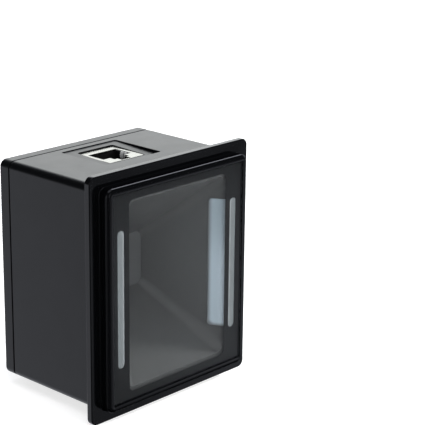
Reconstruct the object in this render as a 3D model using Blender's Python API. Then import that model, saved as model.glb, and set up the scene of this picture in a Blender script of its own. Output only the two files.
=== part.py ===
"""Fixed barcode reader for a panel cut-out: housing, window, optics, boards and connector.

Metres, +Z up. The window faces -Y and +X is to the right seen from the front. The origin is at
the middle of the bounding box's bottom: under the flange's lower edge, half way through the depth.
"""
import math

import bmesh
import bpy
from mathutils import Vector

GAP = 0.0003

# Housing: flange, raised rim and body
FLANGE_WIDTH = 0.0670
FLANGE_HEIGHT = 0.0768
FLANGE_THICKNESS = 0.0021
FLANGE_CORNER = 0.0022
FLANGE_EDGE = 0.0007
FLANGE_BACK_EDGE = 0.0003
FLANGE_OVERHANG = 0.00345
WALL = 0.0020
BODY_DEPTH = 0.0440
BODY_CORNER = 0.0023
RIM_MARGIN = 0.0037
RIM_HEIGHT = 0.0037
RIM_CORNER = 0.0024
RIM_EDGE = 0.0012
LIP_WIDTH = 0.0019

# Rear cover, its screws and the pillars they go into
COVER_DEPTH = 0.0045
COVER_EDGE = 0.0008
SEAM_CHAMFER = 0.00025
TONGUE_REACH = 0.0012
TONGUE_THICKNESS = 0.0010
PILLAR_RADIUS = 0.0028
PILLAR_INSET = 0.0026
PILLAR_LENGTH = 0.0290
COVER_SCREW_RADIUS = 0.0011
COVER_SCREW_LENGTH = 0.0080
COVER_HEAD_RADIUS = 0.0022
COVER_HEAD_HEIGHT = 0.0013
HEAD_SINK = 0.0003

# Window: glass, printed mask, adhesive tape and the ledge they sit on
GLASS_RECESS = 0.00015
GLASS_THICKNESS = 0.0006
GLASS_BEVEL = 0.00015
MASK_THICKNESS = 0.0002
TAPE_THICKNESS = 0.0003
TAPE_WIDTH = 0.0010
LEDGE_WIDTH = 0.0014
LEDGE_THICKNESS = 0.0012
SIDE_BORDER = 0.0069
END_BORDER = 0.0025
WINDOW_CORNER = 0.0018

# Light bars beside the window and diffusers in the funnel's sides
BAR_OFFSET = 0.00335
BAR_WIDTH = 0.0027
BAR_END_MARGIN = 0.00855
DIFFUSER_REACH = 0.0051
DIFFUSER_THICKNESS = 0.0007
DIFFUSER_CORNER = 0.0012
DIFFUSER_END_MARGIN = 0.0089

# Funnel between window and camera, and its fixing plate
FUNNEL_WALL = 0.0012
FUNNEL_RIB = 0.0005
FUNNEL_LIP = 0.0010
FUNNEL_FRONT_CORNER = 0.0020
FUNNEL_REAR_CORNER = 0.0012
FUNNEL_FLANGE = 0.0008
CAMERA_OPENING_WIDTH = 0.0170
CAMERA_OPENING_HEIGHT = 0.0176
SNAP_REACH = 0.0007
SNAP_DEPTH = 0.0012
SNAP_LENGTH = 0.0060
SNAP_SPACING = 0.0360

# LED boards
LED_POST_LENGTH = 0.0029
LED_POST_WIDTH = 0.0024
LED_POST_HEIGHT = 0.0025
LED_POST_GAP = 0.0006
LED_BOARD_THICKNESS = 0.0010
LED_BOARD_SIDE_GAP = 0.0006
LED_WIDTH = 0.0016
LED_HEIGHT = 0.0022
LED_RISE = 0.0006
LED_TO_FUNNEL = 0.0006
STATUS_LED_SPACING = 0.0220
LIGHT_LED_SPACING = 0.0150

# Camera stack, front to back
BRACKET_THICKNESS = 0.0016
BRACKET_LEG_SIDE = 0.0040
HOLDER_SIDE = 0.0140
HOLDER_DEPTH = 0.0047
SENSOR_SIDE = 0.0070
SENSOR_THICKNESS = 0.0008
BARREL_RADIUS = 0.0032
BARREL_LENGTH = 0.0052
BARREL_PROUD = 0.0006
LENS_RADIUS = 0.0022
LENS_DOME = 0.0006
LENS_RIM = 0.0006
IRIS_RADIUS = 0.0011
CAMERA_BOARD_THICKNESS = 0.0010
CAMERA_SCREW_RADIUS = 0.0007
CAMERA_SCREW_LENGTH = 0.0036
CAMERA_HEAD_RADIUS = 0.0014
CAMERA_HEAD_HEIGHT = 0.0009
CAMERA_TO_BOARD = 0.0038

# Main board and what it carries
BOARD_BOSS_LENGTH = 0.0062
BOARD_BOSS_RADIUS = 0.0023
MAIN_BOARD_THICKNESS = 0.0016
MAIN_BOARD_CORNER = 0.0010
BOARD_SIDE_GAP = 0.0011
BOARD_TOP_GAP = 0.0010
BOARD_BOTTOM_GAP = 0.0040
BOARD_SCREW_INSET = 0.0030
BOARD_SCREW_RADIUS = 0.0009
BOARD_SCREW_LENGTH = 0.0055
BOARD_HEAD_RADIUS = 0.0017
BOARD_HEAD_HEIGHT = 0.0011
CHIP_THICKNESS = 0.0013
PROCESSOR_SIDE = 0.0120
MEMORY_WIDTH = 0.0070
MEMORY_HEIGHT = 0.0100
CHIP_ROW_HEIGHT = 0.0100
CHIP_EDGE_GAP = 0.0070
BUZZER_RADIUS = 0.0040
BUZZER_HEIGHT = 0.0030
BUZZER_PORT_RADIUS = 0.0010
BUZZER_SIDE_GAP = 0.0014
BUZZER_RISE = 0.0006
FLEX_WIDTH = 0.0080
FLEX_THICKNESS = 0.0002
FLEX_CONNECTOR_WIDTH = 0.0104
FLEX_CONNECTOR_HEIGHT = 0.0036
FLEX_CONNECTOR_RISE = 0.0012
CABLE_RADIUS = 0.0007
CABLE_CONNECTOR_WIDTH = 0.0050
CABLE_CONNECTOR_HEIGHT = 0.0040
CABLE_CONNECTOR_RISE = 0.0024

# Modular connector on the top face, and the pocket it sits in
JACK_WIDTH = 0.0145
JACK_THICKNESS = 0.0144
JACK_LENGTH = 0.0160
POCKET_MARGIN_X = 0.0042
POCKET_MARGIN_Y = 0.0031
POCKET_DEPTH = 0.0008
POCKET_CORNER = 0.0007
SHIELD_WALL = 0.0003
SOCKET_WIDTH = 0.01175
SOCKET_HEIGHT = 0.0070
SOCKET_REAR_MARGIN = 0.0030
SOCKET_LENGTH = 0.0125
LATCH_WIDTH = 0.0062
LATCH_HEIGHT = 0.0020
KEY_WIDTH = 0.0038
KEY_MARGIN = 0.0004
CONTACT_COUNT = 8
CONTACT_PITCH = 0.00127
CONTACT_WIDTH = 0.00045
CONTACT_THICKNESS = 0.0003
CONTACT_START = 0.0034
CONTACT_LENGTH = 0.0072
CONTACT_SPRING = 0.0011

CORNER_STEPS = 5
EDGE_STEPS = 4
ROUND_STEPS = 20
CABLE_STEPS = 14
MIN_CORNER = 0.0002
OVERLAP = 0.0002

# Heights and depths that follow from the sizes above
MID_Z = FLANGE_HEIGHT / 2
FRONT_Y = -(RIM_HEIGHT + BODY_DEPTH) / 2
FLANGE_Y = FRONT_Y + RIM_HEIGHT
FLANGE_BACK_Y = FLANGE_Y + FLANGE_THICKNESS
REAR_Y = FLANGE_Y + BODY_DEPTH
COVER_FLOOR_Y = REAR_Y - WALL
SEAM_Y = REAR_Y - COVER_DEPTH
HOUSING_REAR_Y = SEAM_Y - GAP / 2
COVER_FRONT_Y = SEAM_Y + GAP / 2

GLASS_Y = FRONT_Y + GLASS_RECESS
MASK_Y = GLASS_Y + GLASS_THICKNESS + GAP
TAPE_Y = MASK_Y + MASK_THICKNESS + GAP
LEDGE_Y = TAPE_Y + TAPE_THICKNESS + GAP
LEDGE_BACK_Y = LEDGE_Y + LEDGE_THICKNESS
PLATE_Y = LEDGE_BACK_Y + GAP
PLATE_BACK_Y = PLATE_Y + FUNNEL_WALL
POST_END_Y = PLATE_BACK_Y + LED_POST_LENGTH
LED_BOARD_Y = POST_END_Y + GAP
LED_Y = LED_BOARD_Y - GAP - LED_RISE

MAIN_BOARD_Y = COVER_FLOOR_Y - BOARD_BOSS_LENGTH - GAP - MAIN_BOARD_THICKNESS
MAIN_BOARD_BACK_Y = MAIN_BOARD_Y + MAIN_BOARD_THICKNESS
ON_BOARD_Y = MAIN_BOARD_Y - GAP
JACK_REAR_Y = ON_BOARD_Y
JACK_FRONT_Y = JACK_REAR_Y - JACK_THICKNESS

CAMERA_BOARD_Y = MAIN_BOARD_Y - CAMERA_TO_BOARD - CAMERA_BOARD_THICKNESS
HOLDER_Y = CAMERA_BOARD_Y - GAP - HOLDER_DEPTH
BRACKET_Y = HOLDER_Y - GAP - BRACKET_THICKNESS
FUNNEL_END_Y = BRACKET_Y - GAP
FUNNEL_Y = TAPE_Y
BARREL_Y = BRACKET_Y - BARREL_PROUD

# Half widths and half heights, (x, z)
FLANGE_HALF = (FLANGE_WIDTH / 2, FLANGE_HEIGHT / 2)


def inset(half, amount_x, amount_z=None):
    """A rectangle's half sizes drawn in by an amount on each side."""
    amount_z = amount_x if amount_z is None else amount_z
    return (half[0] - amount_x, half[1] - amount_z)


BODY_HALF = inset(FLANGE_HALF, FLANGE_OVERHANG)
INNER_HALF = inset(BODY_HALF, WALL)
RIM_HALF = inset(FLANGE_HALF, RIM_MARGIN)
POCKET_HALF = inset(RIM_HALF, LIP_WIDTH)
GLASS_HALF = inset(POCKET_HALF, GAP)
LEDGE_HALF = inset(POCKET_HALF, LEDGE_WIDTH)
COLLAR_HALF = inset(LEDGE_HALF, GAP)
PLATE_HALF = inset(INNER_HALF, GAP)
WINDOW_HALF = inset(GLASS_HALF, SIDE_BORDER, END_BORDER)
INNER_CORNER = max(BODY_CORNER - WALL, MIN_CORNER)
GLASS_CORNER = max(RIM_CORNER - LIP_WIDTH, MIN_CORNER)

BAR_X = WINDOW_HALF[0] + BAR_OFFSET
BAR_HALF_LENGTH = WINDOW_HALF[1] - BAR_END_MARGIN
BAR_INNER_X = BAR_X - BAR_WIDTH / 2
FUNNEL_FRONT_HALF = (BAR_INNER_X - GAP - FUNNEL_RIB, WINDOW_HALF[1] - FUNNEL_LIP)
FUNNEL_END_HALF = (CAMERA_OPENING_WIDTH / 2, CAMERA_OPENING_HEIGHT / 2)
FUNNEL_DEPTH = FUNNEL_END_Y - FUNNEL_Y
SIDE_ANGLE = math.atan2(FUNNEL_FRONT_HALF[0] - FUNNEL_END_HALF[0], FUNNEL_DEPTH)
END_ANGLE = math.atan2(FUNNEL_FRONT_HALF[1] - FUNNEL_END_HALF[1], FUNNEL_DEPTH)
FUNNEL_THICK = (FUNNEL_WALL / math.cos(SIDE_ANGLE), FUNNEL_WALL / math.cos(END_ANGLE))


def funnel_inside(y):
    """Half sizes of the funnel's opening at a depth."""
    share = (y - FUNNEL_Y) / FUNNEL_DEPTH
    return tuple(a + (b - a) * share for a, b in zip(FUNNEL_FRONT_HALF, FUNNEL_END_HALF))


def funnel_outside(y):
    """Half sizes of the funnel's outside at a depth."""
    return tuple(half + thick for half, thick in zip(funnel_inside(y), FUNNEL_THICK))


FUNNEL_NECK_Y = FUNNEL_END_Y - FUNNEL_WALL
FUNNEL_FLANGE_HALF = inset(funnel_outside(FUNNEL_NECK_Y), -FUNNEL_FLANGE)
DIFFUSER_HALF_HEIGHT = WINDOW_HALF[1] - DIFFUSER_END_MARGIN
DIFFUSER_LENGTH = DIFFUSER_REACH / math.cos(SIDE_ANGLE)

PILLAR_X = INNER_HALF[0] - PILLAR_INSET
PILLAR_Z = INNER_HALF[1] - PILLAR_INSET
PILLARS = [(side * PILLAR_X, MID_Z + end * PILLAR_Z) for side in (-1, 1) for end in (-1, 1)]

LED_BOARD_OUTER_X = INNER_HALF[0] - LED_BOARD_SIDE_GAP
LED_POST_START = BAR_HALF_LENGTH + GAP + LED_POST_GAP
LED_BOARD_HALF_HEIGHT = LED_POST_START + LED_POST_HEIGHT

BODY_TOP_Z = MID_Z + BODY_HALF[1]
JACK_TOP_Z = BODY_TOP_Z - POCKET_DEPTH
JACK_BOTTOM_Z = JACK_TOP_Z - JACK_LENGTH
JACK_MID_Y = (JACK_FRONT_Y + JACK_REAR_Y) / 2
SOCKET_REAR_Y = JACK_REAR_Y - SOCKET_REAR_MARGIN
SOCKET_FRONT_Y = SOCKET_REAR_Y - SOCKET_HEIGHT

BOARD_HALF_WIDTH = PILLAR_X - PILLAR_RADIUS - BOARD_SIDE_GAP
BOARD_TOP_Z = MID_Z + INNER_HALF[1] - BOARD_TOP_GAP
BOARD_BOTTOM_Z = MID_Z - INNER_HALF[1] + BOARD_BOTTOM_GAP
BOARD_SCREW_X = BOARD_HALF_WIDTH - BOARD_SCREW_INSET
BOARD_SCREWS = [
    (side * BOARD_SCREW_X, z)
    for side in (-1, 1)
    for z in (BOARD_BOTTOM_Z + BOARD_SCREW_INSET, BOARD_TOP_Z - BOARD_SCREW_INSET)
]
CHIP_ROW_Z = BOARD_BOTTOM_Z + CHIP_ROW_HEIGHT


def clear_scene():
    for item in list(bpy.data.objects):
        bpy.data.objects.remove(item, do_unlink=True)


def make_material(name, color, roughness, metallic=0.0, alpha=1.0):
    material = bpy.data.materials.new(name)
    material.use_nodes = True
    shader = material.node_tree.nodes["Principled BSDF"]
    shader.inputs["Base Color"].default_value = (*color, 1.0)
    shader.inputs["Roughness"].default_value = roughness
    shader.inputs["Metallic"].default_value = metallic
    shader.inputs["Alpha"].default_value = alpha
    return material


def make_object(name, bm, material, smooth_angle=35.0):
    """Turn a bmesh into a named object with outward faces and its own material."""
    bmesh.ops.recalc_face_normals(bm, faces=bm.faces)
    mesh = bpy.data.meshes.new(name)
    bm.to_mesh(mesh)
    bm.free()
    mesh.materials.append(material)
    mesh.shade_smooth()
    mesh.set_sharp_from_angle(angle=math.radians(smooth_angle))
    piece = bpy.data.objects.new(name, mesh)
    bpy.context.scene.collection.objects.link(piece)
    return piece


def combine(target, tool, operation):
    """Apply one exact Boolean to the target and remove the tool."""
    modifier = target.modifiers.new(tool.name, "BOOLEAN")
    modifier.operation = operation
    modifier.solver = "EXACT"
    modifier.object = tool
    bpy.context.view_layer.update()
    graph = bpy.context.evaluated_depsgraph_get()
    result = bpy.data.meshes.new_from_object(target.evaluated_get(graph))
    target.modifiers.clear()
    target.data = result
    bpy.data.objects.remove(tool, do_unlink=True)


def rounded_rect(half, corner, steps=CORNER_STEPS):
    """Rounded rectangle about (0, 0), anticlockwise, as (u, v) points."""
    corner = max(corner, MIN_CORNER)
    points = []
    centres = ((1, -1), (1, 1), (-1, 1), (-1, -1))
    for index, (sign_u, sign_v) in enumerate(centres):
        centre_u = sign_u * (half[0] - corner)
        centre_v = sign_v * (half[1] - corner)
        for step in range(steps + 1):
            angle = math.radians(-90 + 90 * index + 90 * step / steps)
            points.append((centre_u + corner * math.cos(angle), centre_v + corner * math.sin(angle)))
    return points


def circle(radius, steps=ROUND_STEPS):
    """Regular polygon about (0, 0) as (u, v) points."""
    turns = [2 * math.pi * step / steps for step in range(steps)]
    return [(radius * math.cos(turn), radius * math.sin(turn)) for turn in turns]


def ring_y(points, y, centre=(0.0, MID_Z)):
    """Lay (x, z) points in the plane at depth y, about a centre."""
    return [Vector((centre[0] + u, y, centre[1] + v)) for u, v in points]


def rect_ring(half, corner, y):
    return ring_y(rounded_rect(half, corner), y)


def edge_rings(half, corner, face_y, direction, radius, steps=EDGE_STEPS):
    """Rings over a rounded edge, from the face at face_y to the side it turns into."""
    rings = []
    for step in range(steps + 1):
        angle = math.radians(90 * step / steps)
        draw_in = radius * (1 - math.sin(angle))
        y = face_y + direction * radius * (1 - math.cos(angle))
        rings.append(rect_ring(inset(half, draw_in), corner - draw_in, y))
    return rings


def loft(rings, loop=False):
    """Skin rings of equal length. A loop joins the last ring to the first, else both ends get caps."""
    bm = bmesh.new()
    rows = [[bm.verts.new(point) for point in ring] for ring in rings]
    pairs = list(zip(rows, rows[1:]))
    if loop:
        pairs.append((rows[-1], rows[0]))
    else:
        bm.faces.new(rows[0])
        bm.faces.new(rows[-1])
    for row, other in pairs:
        for index in range(len(row)):
            following = (index + 1) % len(row)
            bm.faces.new((row[index], row[following], other[following], other[index]))
    return bm


def solid(name, rings, material, loop=False):
    return make_object(name, loft(rings, loop), material)


def plate(name, half, corner, y0, y1, material):
    """Flat plate facing Y with rounded corners, centred on the window's axis."""
    return solid(name, [rect_ring(half, corner, y0), rect_ring(half, corner, y1)], material)


def block(name, low, high, material):
    """Box between two corners."""
    corners = [(low[0], low[1]), (high[0], low[1]), (high[0], high[1]), (low[0], high[1])]
    rings = [[Vector((x, y, z)) for x, y in corners] for z in (low[2], high[2])]
    return solid(name, rings, material)


def rod(name, centre, radius, y0, y1, material, steps=ROUND_STEPS):
    """Round bar along Y at an (x, z) centre."""
    return solid(name, [ring_y(circle(radius, steps), y, centre) for y in (y0, y1)], material)


def turned(name, centre, profile, material, loop=False, steps=ROUND_STEPS):
    """Solid turned about a Y axis from (radius, y) points."""
    rings = [ring_y(circle(radius, steps), y, centre) for radius, y in profile]
    return solid(name, rings, material, loop)


def upright(name, points, z0, z1, material):
    """Prism that stands on an (x, y) outline."""
    return solid(name, [[Vector((x, y, z)) for x, y in points] for z in (z0, z1)], material)


def strip_outline(path, thickness):
    """Outline of a bent strip from the (u, v) points of its middle line."""
    normals = []
    for start, end in zip(path, path[1:]):
        length = math.hypot(end[0] - start[0], end[1] - start[1])
        normals.append(((start[1] - end[1]) / length, (end[0] - start[0]) / length))
    left = []
    right = []
    for index, point in enumerate(path):
        before = normals[max(index - 1, 0)]
        after = normals[min(index, len(normals) - 1)]
        mitre = 1 + before[0] * after[0] + before[1] * after[1]
        offset = [(before[axis] + after[axis]) / mitre * thickness / 2 for axis in (0, 1)]
        left.append((point[0] + offset[0], point[1] + offset[1]))
        right.append((point[0] - offset[0], point[1] - offset[1]))
    return left + right[::-1]


def strip(name, path, thickness, width, x, material):
    """Bent strip in the YZ plane, with its width along X about x."""
    outline = strip_outline(path, thickness)
    rings = [[Vector((x + side * width / 2, y, z)) for y, z in outline] for side in (-1, 1)]
    return solid(name, rings, material)


def bezier(points, steps):
    """Points along a cubic Bezier curve."""
    start, pull_out, pull_in, end = [Vector(point) for point in points]
    result = []
    for step in range(steps + 1):
        t = step / steps
        s = 1 - t
        result.append(s ** 3 * start + 3 * s * s * t * pull_out + 3 * s * t * t * pull_in + t ** 3 * end)
    return result


def build_housing(material):
    """Flange, rim, glass pocket, ledge and body as one moulding, open at the back."""
    rings = [rect_ring(POCKET_HALF, GLASS_CORNER, FRONT_Y)]
    rings += edge_rings(RIM_HALF, RIM_CORNER, FRONT_Y, 1, RIM_EDGE)
    rings.append(rect_ring(RIM_HALF, RIM_CORNER, FLANGE_Y))
    rings += edge_rings(FLANGE_HALF, FLANGE_CORNER, FLANGE_Y, 1, FLANGE_EDGE)
    rings += edge_rings(FLANGE_HALF, FLANGE_CORNER, FLANGE_BACK_Y, -1, FLANGE_BACK_EDGE, 1)[::-1]
    rings.append(rect_ring(BODY_HALF, BODY_CORNER, FLANGE_BACK_Y))
    rings.append(rect_ring(BODY_HALF, BODY_CORNER, HOUSING_REAR_Y - SEAM_CHAMFER))
    rings.append(rect_ring(inset(BODY_HALF, SEAM_CHAMFER), BODY_CORNER - SEAM_CHAMFER, HOUSING_REAR_Y))
    rings.append(rect_ring(INNER_HALF, INNER_CORNER, HOUSING_REAR_Y))
    rings.append(rect_ring(INNER_HALF, INNER_CORNER, LEDGE_BACK_Y))
    rings.append(rect_ring(LEDGE_HALF, GLASS_CORNER, LEDGE_BACK_Y))
    rings.append(rect_ring(LEDGE_HALF, GLASS_CORNER, LEDGE_Y))
    rings.append(rect_ring(POCKET_HALF, GLASS_CORNER, LEDGE_Y))
    housing = solid("housing", rings, material, loop=True)
    pillar_y = HOUSING_REAR_Y - PILLAR_LENGTH
    for place in PILLARS:
        combine(housing, rod("pillar", place, PILLAR_RADIUS, pillar_y, HOUSING_REAR_Y, material), "UNION")
    hole_y = COVER_FLOOR_Y - COVER_SCREW_LENGTH
    for place in PILLARS:
        hole = rod("hole", place, COVER_SCREW_RADIUS + GAP, hole_y, REAR_Y, material)
        combine(housing, hole, "DIFFERENCE")
    add_snap_ribs(housing, material)
    cut_connector_pocket(housing, material)
    return housing


def add_snap_ribs(housing, material):
    """Ribs on the side walls that hold the baffle's plate against the ledge."""
    y0 = PLATE_BACK_Y + GAP
    for side in (-1, 1):
        for end in (-1, 1):
            z = MID_Z + end * SNAP_SPACING / 2
            xs = sorted((side * (INNER_HALF[0] - SNAP_REACH), side * (INNER_HALF[0] + OVERLAP)))
            low = (xs[0], y0, z - SNAP_LENGTH / 2)
            high = (xs[1], y0 + SNAP_DEPTH, z + SNAP_LENGTH / 2)
            combine(housing, block("rib", low, high, material), "UNION")


def cut_connector_pocket(housing, material):
    """Shallow pocket in the top face, with a hole that the connector comes up through."""
    half = (JACK_WIDTH / 2 + POCKET_MARGIN_X, JACK_THICKNESS / 2 + POCKET_MARGIN_Y)
    outline = [(u, JACK_MID_Y + v) for u, v in rounded_rect(half, POCKET_CORNER)]
    pocket = upright("pocket", outline, JACK_TOP_Z, BODY_TOP_Z + WALL, material)
    combine(housing, pocket, "DIFFERENCE")
    low = (-JACK_WIDTH / 2 - GAP, JACK_FRONT_Y - GAP, JACK_TOP_Z - 2 * WALL)
    high = (JACK_WIDTH / 2 + GAP, JACK_REAR_Y + GAP, BODY_TOP_Z)
    combine(housing, block("hole", low, high, material), "DIFFERENCE")


def build_rear_cover(material):
    """Shallow tray with screw posts, board bosses and tongues that reach into the housing."""
    rings = [rect_ring(INNER_HALF, INNER_CORNER, COVER_FLOOR_Y)]
    rings.append(rect_ring(INNER_HALF, INNER_CORNER, COVER_FRONT_Y))
    rings.append(rect_ring(inset(BODY_HALF, SEAM_CHAMFER), BODY_CORNER - SEAM_CHAMFER, COVER_FRONT_Y))
    rings.append(rect_ring(BODY_HALF, BODY_CORNER, COVER_FRONT_Y + SEAM_CHAMFER))
    rings += edge_rings(BODY_HALF, BODY_CORNER, REAR_Y, -1, COVER_EDGE)[::-1]
    cover = solid("rear_cover", rings, material)
    floor_y = COVER_FLOOR_Y + OVERLAP
    for place in PILLARS:
        combine(cover, rod("post", place, PILLAR_RADIUS, COVER_FRONT_Y, floor_y, material), "UNION")
    boss_y = MAIN_BOARD_BACK_Y + GAP
    for place in BOARD_SCREWS:
        combine(cover, rod("boss", place, BOARD_BOSS_RADIUS, boss_y, floor_y, material), "UNION")
    add_tongues(cover, floor_y, material)
    head_y = REAR_Y - HEAD_SINK - COVER_HEAD_HEIGHT - GAP
    for place in PILLARS:
        shaft = rod("shaft", place, COVER_SCREW_RADIUS + GAP, COVER_FRONT_Y - GAP, REAR_Y + GAP, material)
        combine(cover, shaft, "DIFFERENCE")
        seat = rod("seat", place, COVER_HEAD_RADIUS + GAP, head_y, REAR_Y + GAP, material)
        combine(cover, seat, "DIFFERENCE")
    hole_y = MAIN_BOARD_Y + BOARD_SCREW_LENGTH
    for place in BOARD_SCREWS:
        hole = rod("hole", place, BOARD_SCREW_RADIUS + GAP, boss_y - GAP, hole_y, material)
        combine(cover, hole, "DIFFERENCE")
    return cover


def add_tongues(cover, floor_y, material):
    """Four straight tongues that close the seam from inside."""
    outer = inset(INNER_HALF, GAP)
    reach_x = PILLAR_X - PILLAR_RADIUS - GAP
    reach_z = PILLAR_Z - PILLAR_RADIUS - GAP
    y0 = HOUSING_REAR_Y - TONGUE_REACH
    for side in (-1, 1):
        xs = sorted((side * outer[0], side * (outer[0] - TONGUE_THICKNESS)))
        low = (xs[0], y0, MID_Z - reach_z)
        high = (xs[1], floor_y, MID_Z + reach_z)
        combine(cover, block("tongue", low, high, material), "UNION")
        zs = sorted((side * outer[1], side * (outer[1] - TONGUE_THICKNESS)))
        low = (-reach_x, y0, MID_Z + zs[0])
        high = (reach_x, floor_y, MID_Z + zs[1])
        combine(cover, block("tongue", low, high, material), "UNION")


def build_window(glass_material, mask_material, tape_material):
    """Glass pane, printed mask with its three openings, and the adhesive frame behind it."""
    rings = edge_rings(GLASS_HALF, GLASS_CORNER, GLASS_Y, 1, GLASS_BEVEL, 1)
    rings += edge_rings(GLASS_HALF, GLASS_CORNER, GLASS_Y + GLASS_THICKNESS, -1, GLASS_BEVEL, 1)[::-1]
    solid("window_glass", rings, glass_material)
    mask_back_y = MASK_Y + MASK_THICKNESS
    mask = plate("window_mask", GLASS_HALF, GLASS_CORNER, MASK_Y, mask_back_y, mask_material)
    opening = plate("opening", WINDOW_HALF, WINDOW_CORNER, MASK_Y - GAP, mask_back_y + GAP, mask_material)
    combine(mask, opening, "DIFFERENCE")
    for side in (-1, 1):
        slot = bar_solid("slot", side, 0.0, MASK_Y - GAP, mask_back_y + GAP, mask_material)
        combine(mask, slot, "DIFFERENCE")
    outer = rect_ring(GLASS_HALF, GLASS_CORNER, TAPE_Y)
    outer_back = rect_ring(GLASS_HALF, GLASS_CORNER, TAPE_Y + TAPE_THICKNESS)
    tape_half = inset(GLASS_HALF, TAPE_WIDTH)
    inner = rect_ring(tape_half, GLASS_CORNER, TAPE_Y)
    inner_back = rect_ring(tape_half, GLASS_CORNER, TAPE_Y + TAPE_THICKNESS)
    solid("window_tape", [outer, outer_back, inner_back, inner], tape_material, loop=True)


def bar_solid(name, side, grow, y0, y1, material):
    """Upright bar with round ends beside the window, grown on all sides by an amount."""
    half = (BAR_WIDTH / 2 + grow, BAR_HALF_LENGTH + grow)
    points = [(side * BAR_X + u, v) for u, v in rounded_rect(half, half[0] - MIN_CORNER)]
    return solid(name, [ring_y(points, y) for y in (y0, y1)], material)


def diffuser_solid(name, side, grow, near, far, front, material):
    """Panel in the funnel's side wall: its rounded back edge, grown, between two distances outward."""
    half = (DIFFUSER_LENGTH / 2, DIFFUSER_HALF_HEIGHT)
    points = []
    for u, v in rounded_rect((half[0] + grow, half[1] + grow), DIFFUSER_CORNER):
        along = half[0] + u
        if along < half[0]:
            along = -front
            v = math.copysign(half[1] + grow, v)
        if not points or (Vector((along, v)) - Vector(points[-1])).length > MIN_CORNER / 10:
            points.append((along, v))
    sin, cos = math.sin(SIDE_ANGLE), math.cos(SIDE_ANGLE)
    rings = []
    for out in (near, far):
        ring = []
        for along, v in points:
            x = FUNNEL_FRONT_HALF[0] - along * sin + out * cos
            y = FUNNEL_Y + along * cos + out * sin
            ring.append(Vector((side * x, y, MID_Z + v)))
        rings.append(ring)
    return solid(name, rings, material)


def build_baffle(material):
    """Four-sided funnel with a collar behind the window, a fixing plate and posts for the LED boards."""
    rings = [rect_ring(FUNNEL_FRONT_HALF, FUNNEL_FRONT_CORNER, FUNNEL_Y)]
    rings.append(rect_ring(FUNNEL_END_HALF, FUNNEL_REAR_CORNER, FUNNEL_END_Y))
    rings.append(rect_ring(FUNNEL_FLANGE_HALF, FUNNEL_REAR_CORNER, FUNNEL_END_Y))
    rings.append(rect_ring(FUNNEL_FLANGE_HALF, FUNNEL_REAR_CORNER, FUNNEL_NECK_Y))
    rings.append(rect_ring(funnel_outside(FUNNEL_NECK_Y), FUNNEL_REAR_CORNER, FUNNEL_NECK_Y))
    rings.append(rect_ring(funnel_outside(PLATE_BACK_Y), FUNNEL_FRONT_CORNER, PLATE_BACK_Y))
    rings.append(rect_ring(PLATE_HALF, INNER_CORNER, PLATE_BACK_Y))
    rings.append(rect_ring(PLATE_HALF, INNER_CORNER, PLATE_Y))
    rings.append(rect_ring(COLLAR_HALF, GLASS_CORNER, PLATE_Y))
    rings.append(rect_ring(COLLAR_HALF, GLASS_CORNER, FUNNEL_Y))
    baffle = solid("optical_baffle", rings, material, loop=True)
    for side in (-1, 1):
        for end in (-1, 1):
            x = side * BAR_X
            zs = sorted((end * LED_POST_START, end * LED_BOARD_HALF_HEIGHT))
            low = (x - LED_POST_WIDTH / 2, PLATE_BACK_Y - OVERLAP, MID_Z + zs[0])
            high = (x + LED_POST_WIDTH / 2, POST_END_Y, MID_Z + zs[1])
            combine(baffle, block("post", low, high, material), "UNION")
    for side in (-1, 1):
        slot = bar_solid("slot", side, GAP, FUNNEL_Y - GAP, LED_Y, material)
        combine(baffle, slot, "DIFFERENCE")
        reach = FUNNEL_WALL + FUNNEL_RIB
        notch = diffuser_solid("notch", side, GAP, -OVERLAP, reach, FUNNEL_WALL, material)
        combine(baffle, notch, "DIFFERENCE")
    return baffle


def build_lights(bar_material, diffuser_material, board_material, led_material):
    """Light bars, diffusers and one LED board on each side."""
    led_outer = funnel_outside(LED_Y)[0] + LED_TO_FUNNEL
    light_x = led_outer + LED_WIDTH / 2
    board_y1 = LED_BOARD_Y + LED_BOARD_THICKNESS
    for side, word in ((-1, "left"), (1, "right")):
        bar_solid("light_bar_" + word, side, 0.0, FUNNEL_Y, LED_Y - GAP, bar_material)
        diffuser_solid("diffuser_" + word, side, 0.0, 0.0, DIFFUSER_THICKNESS, 0.0, diffuser_material)
        xs = sorted((side * led_outer, side * LED_BOARD_OUTER_X))
        low = (xs[0], LED_BOARD_Y, MID_Z - LED_BOARD_HALF_HEIGHT)
        high = (xs[1], board_y1, MID_Z + LED_BOARD_HALF_HEIGHT)
        block("led_board_" + word, low, high, board_material)
        for index in range(3):
            z = MID_Z + (index - 1) * LIGHT_LED_SPACING
            build_led(f"light_led_{word}_{index + 1}", side * light_x, z, led_material)
        for index in range(2):
            z = MID_Z + (index - 0.5) * STATUS_LED_SPACING
            build_led(f"status_led_{word}_{index + 1}", side * BAR_X, z, led_material)


def build_led(name, x, z, material):
    low = (x - LED_WIDTH / 2, LED_Y, z - LED_HEIGHT / 2)
    high = (x + LED_WIDTH / 2, LED_Y + LED_RISE, z + LED_HEIGHT / 2)
    return block(name, low, high, material)


def screw_mesh(name, shank, head, material):
    """Pan-head screw along +Y from the head's top at y = 0, with a cross recess.

    The shank and the head are each given as a radius and a length.
    """
    radius, length = shank
    head_radius, head_height = head
    top = head_height * 0.25
    profile = [(head_radius * 0.75, 0.0), (head_radius, top), (head_radius, head_height)]
    profile += [(radius, head_height), (radius, head_height + length - radius / 2)]
    profile += [(radius / 2, head_height + length)]
    screw = turned(name, (0.0, 0.0), profile, material, steps=16)
    arm = head_radius * 0.55
    half = head_radius * 0.13
    for u, v in ((arm, half), (half, arm)):
        recess = block("recess", (-u, -head_height, -v), (u, head_height * 0.6, v), material)
        combine(screw, recess, "DIFFERENCE")
    mesh = screw.data
    bpy.data.objects.remove(screw, do_unlink=True)
    return mesh


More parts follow.
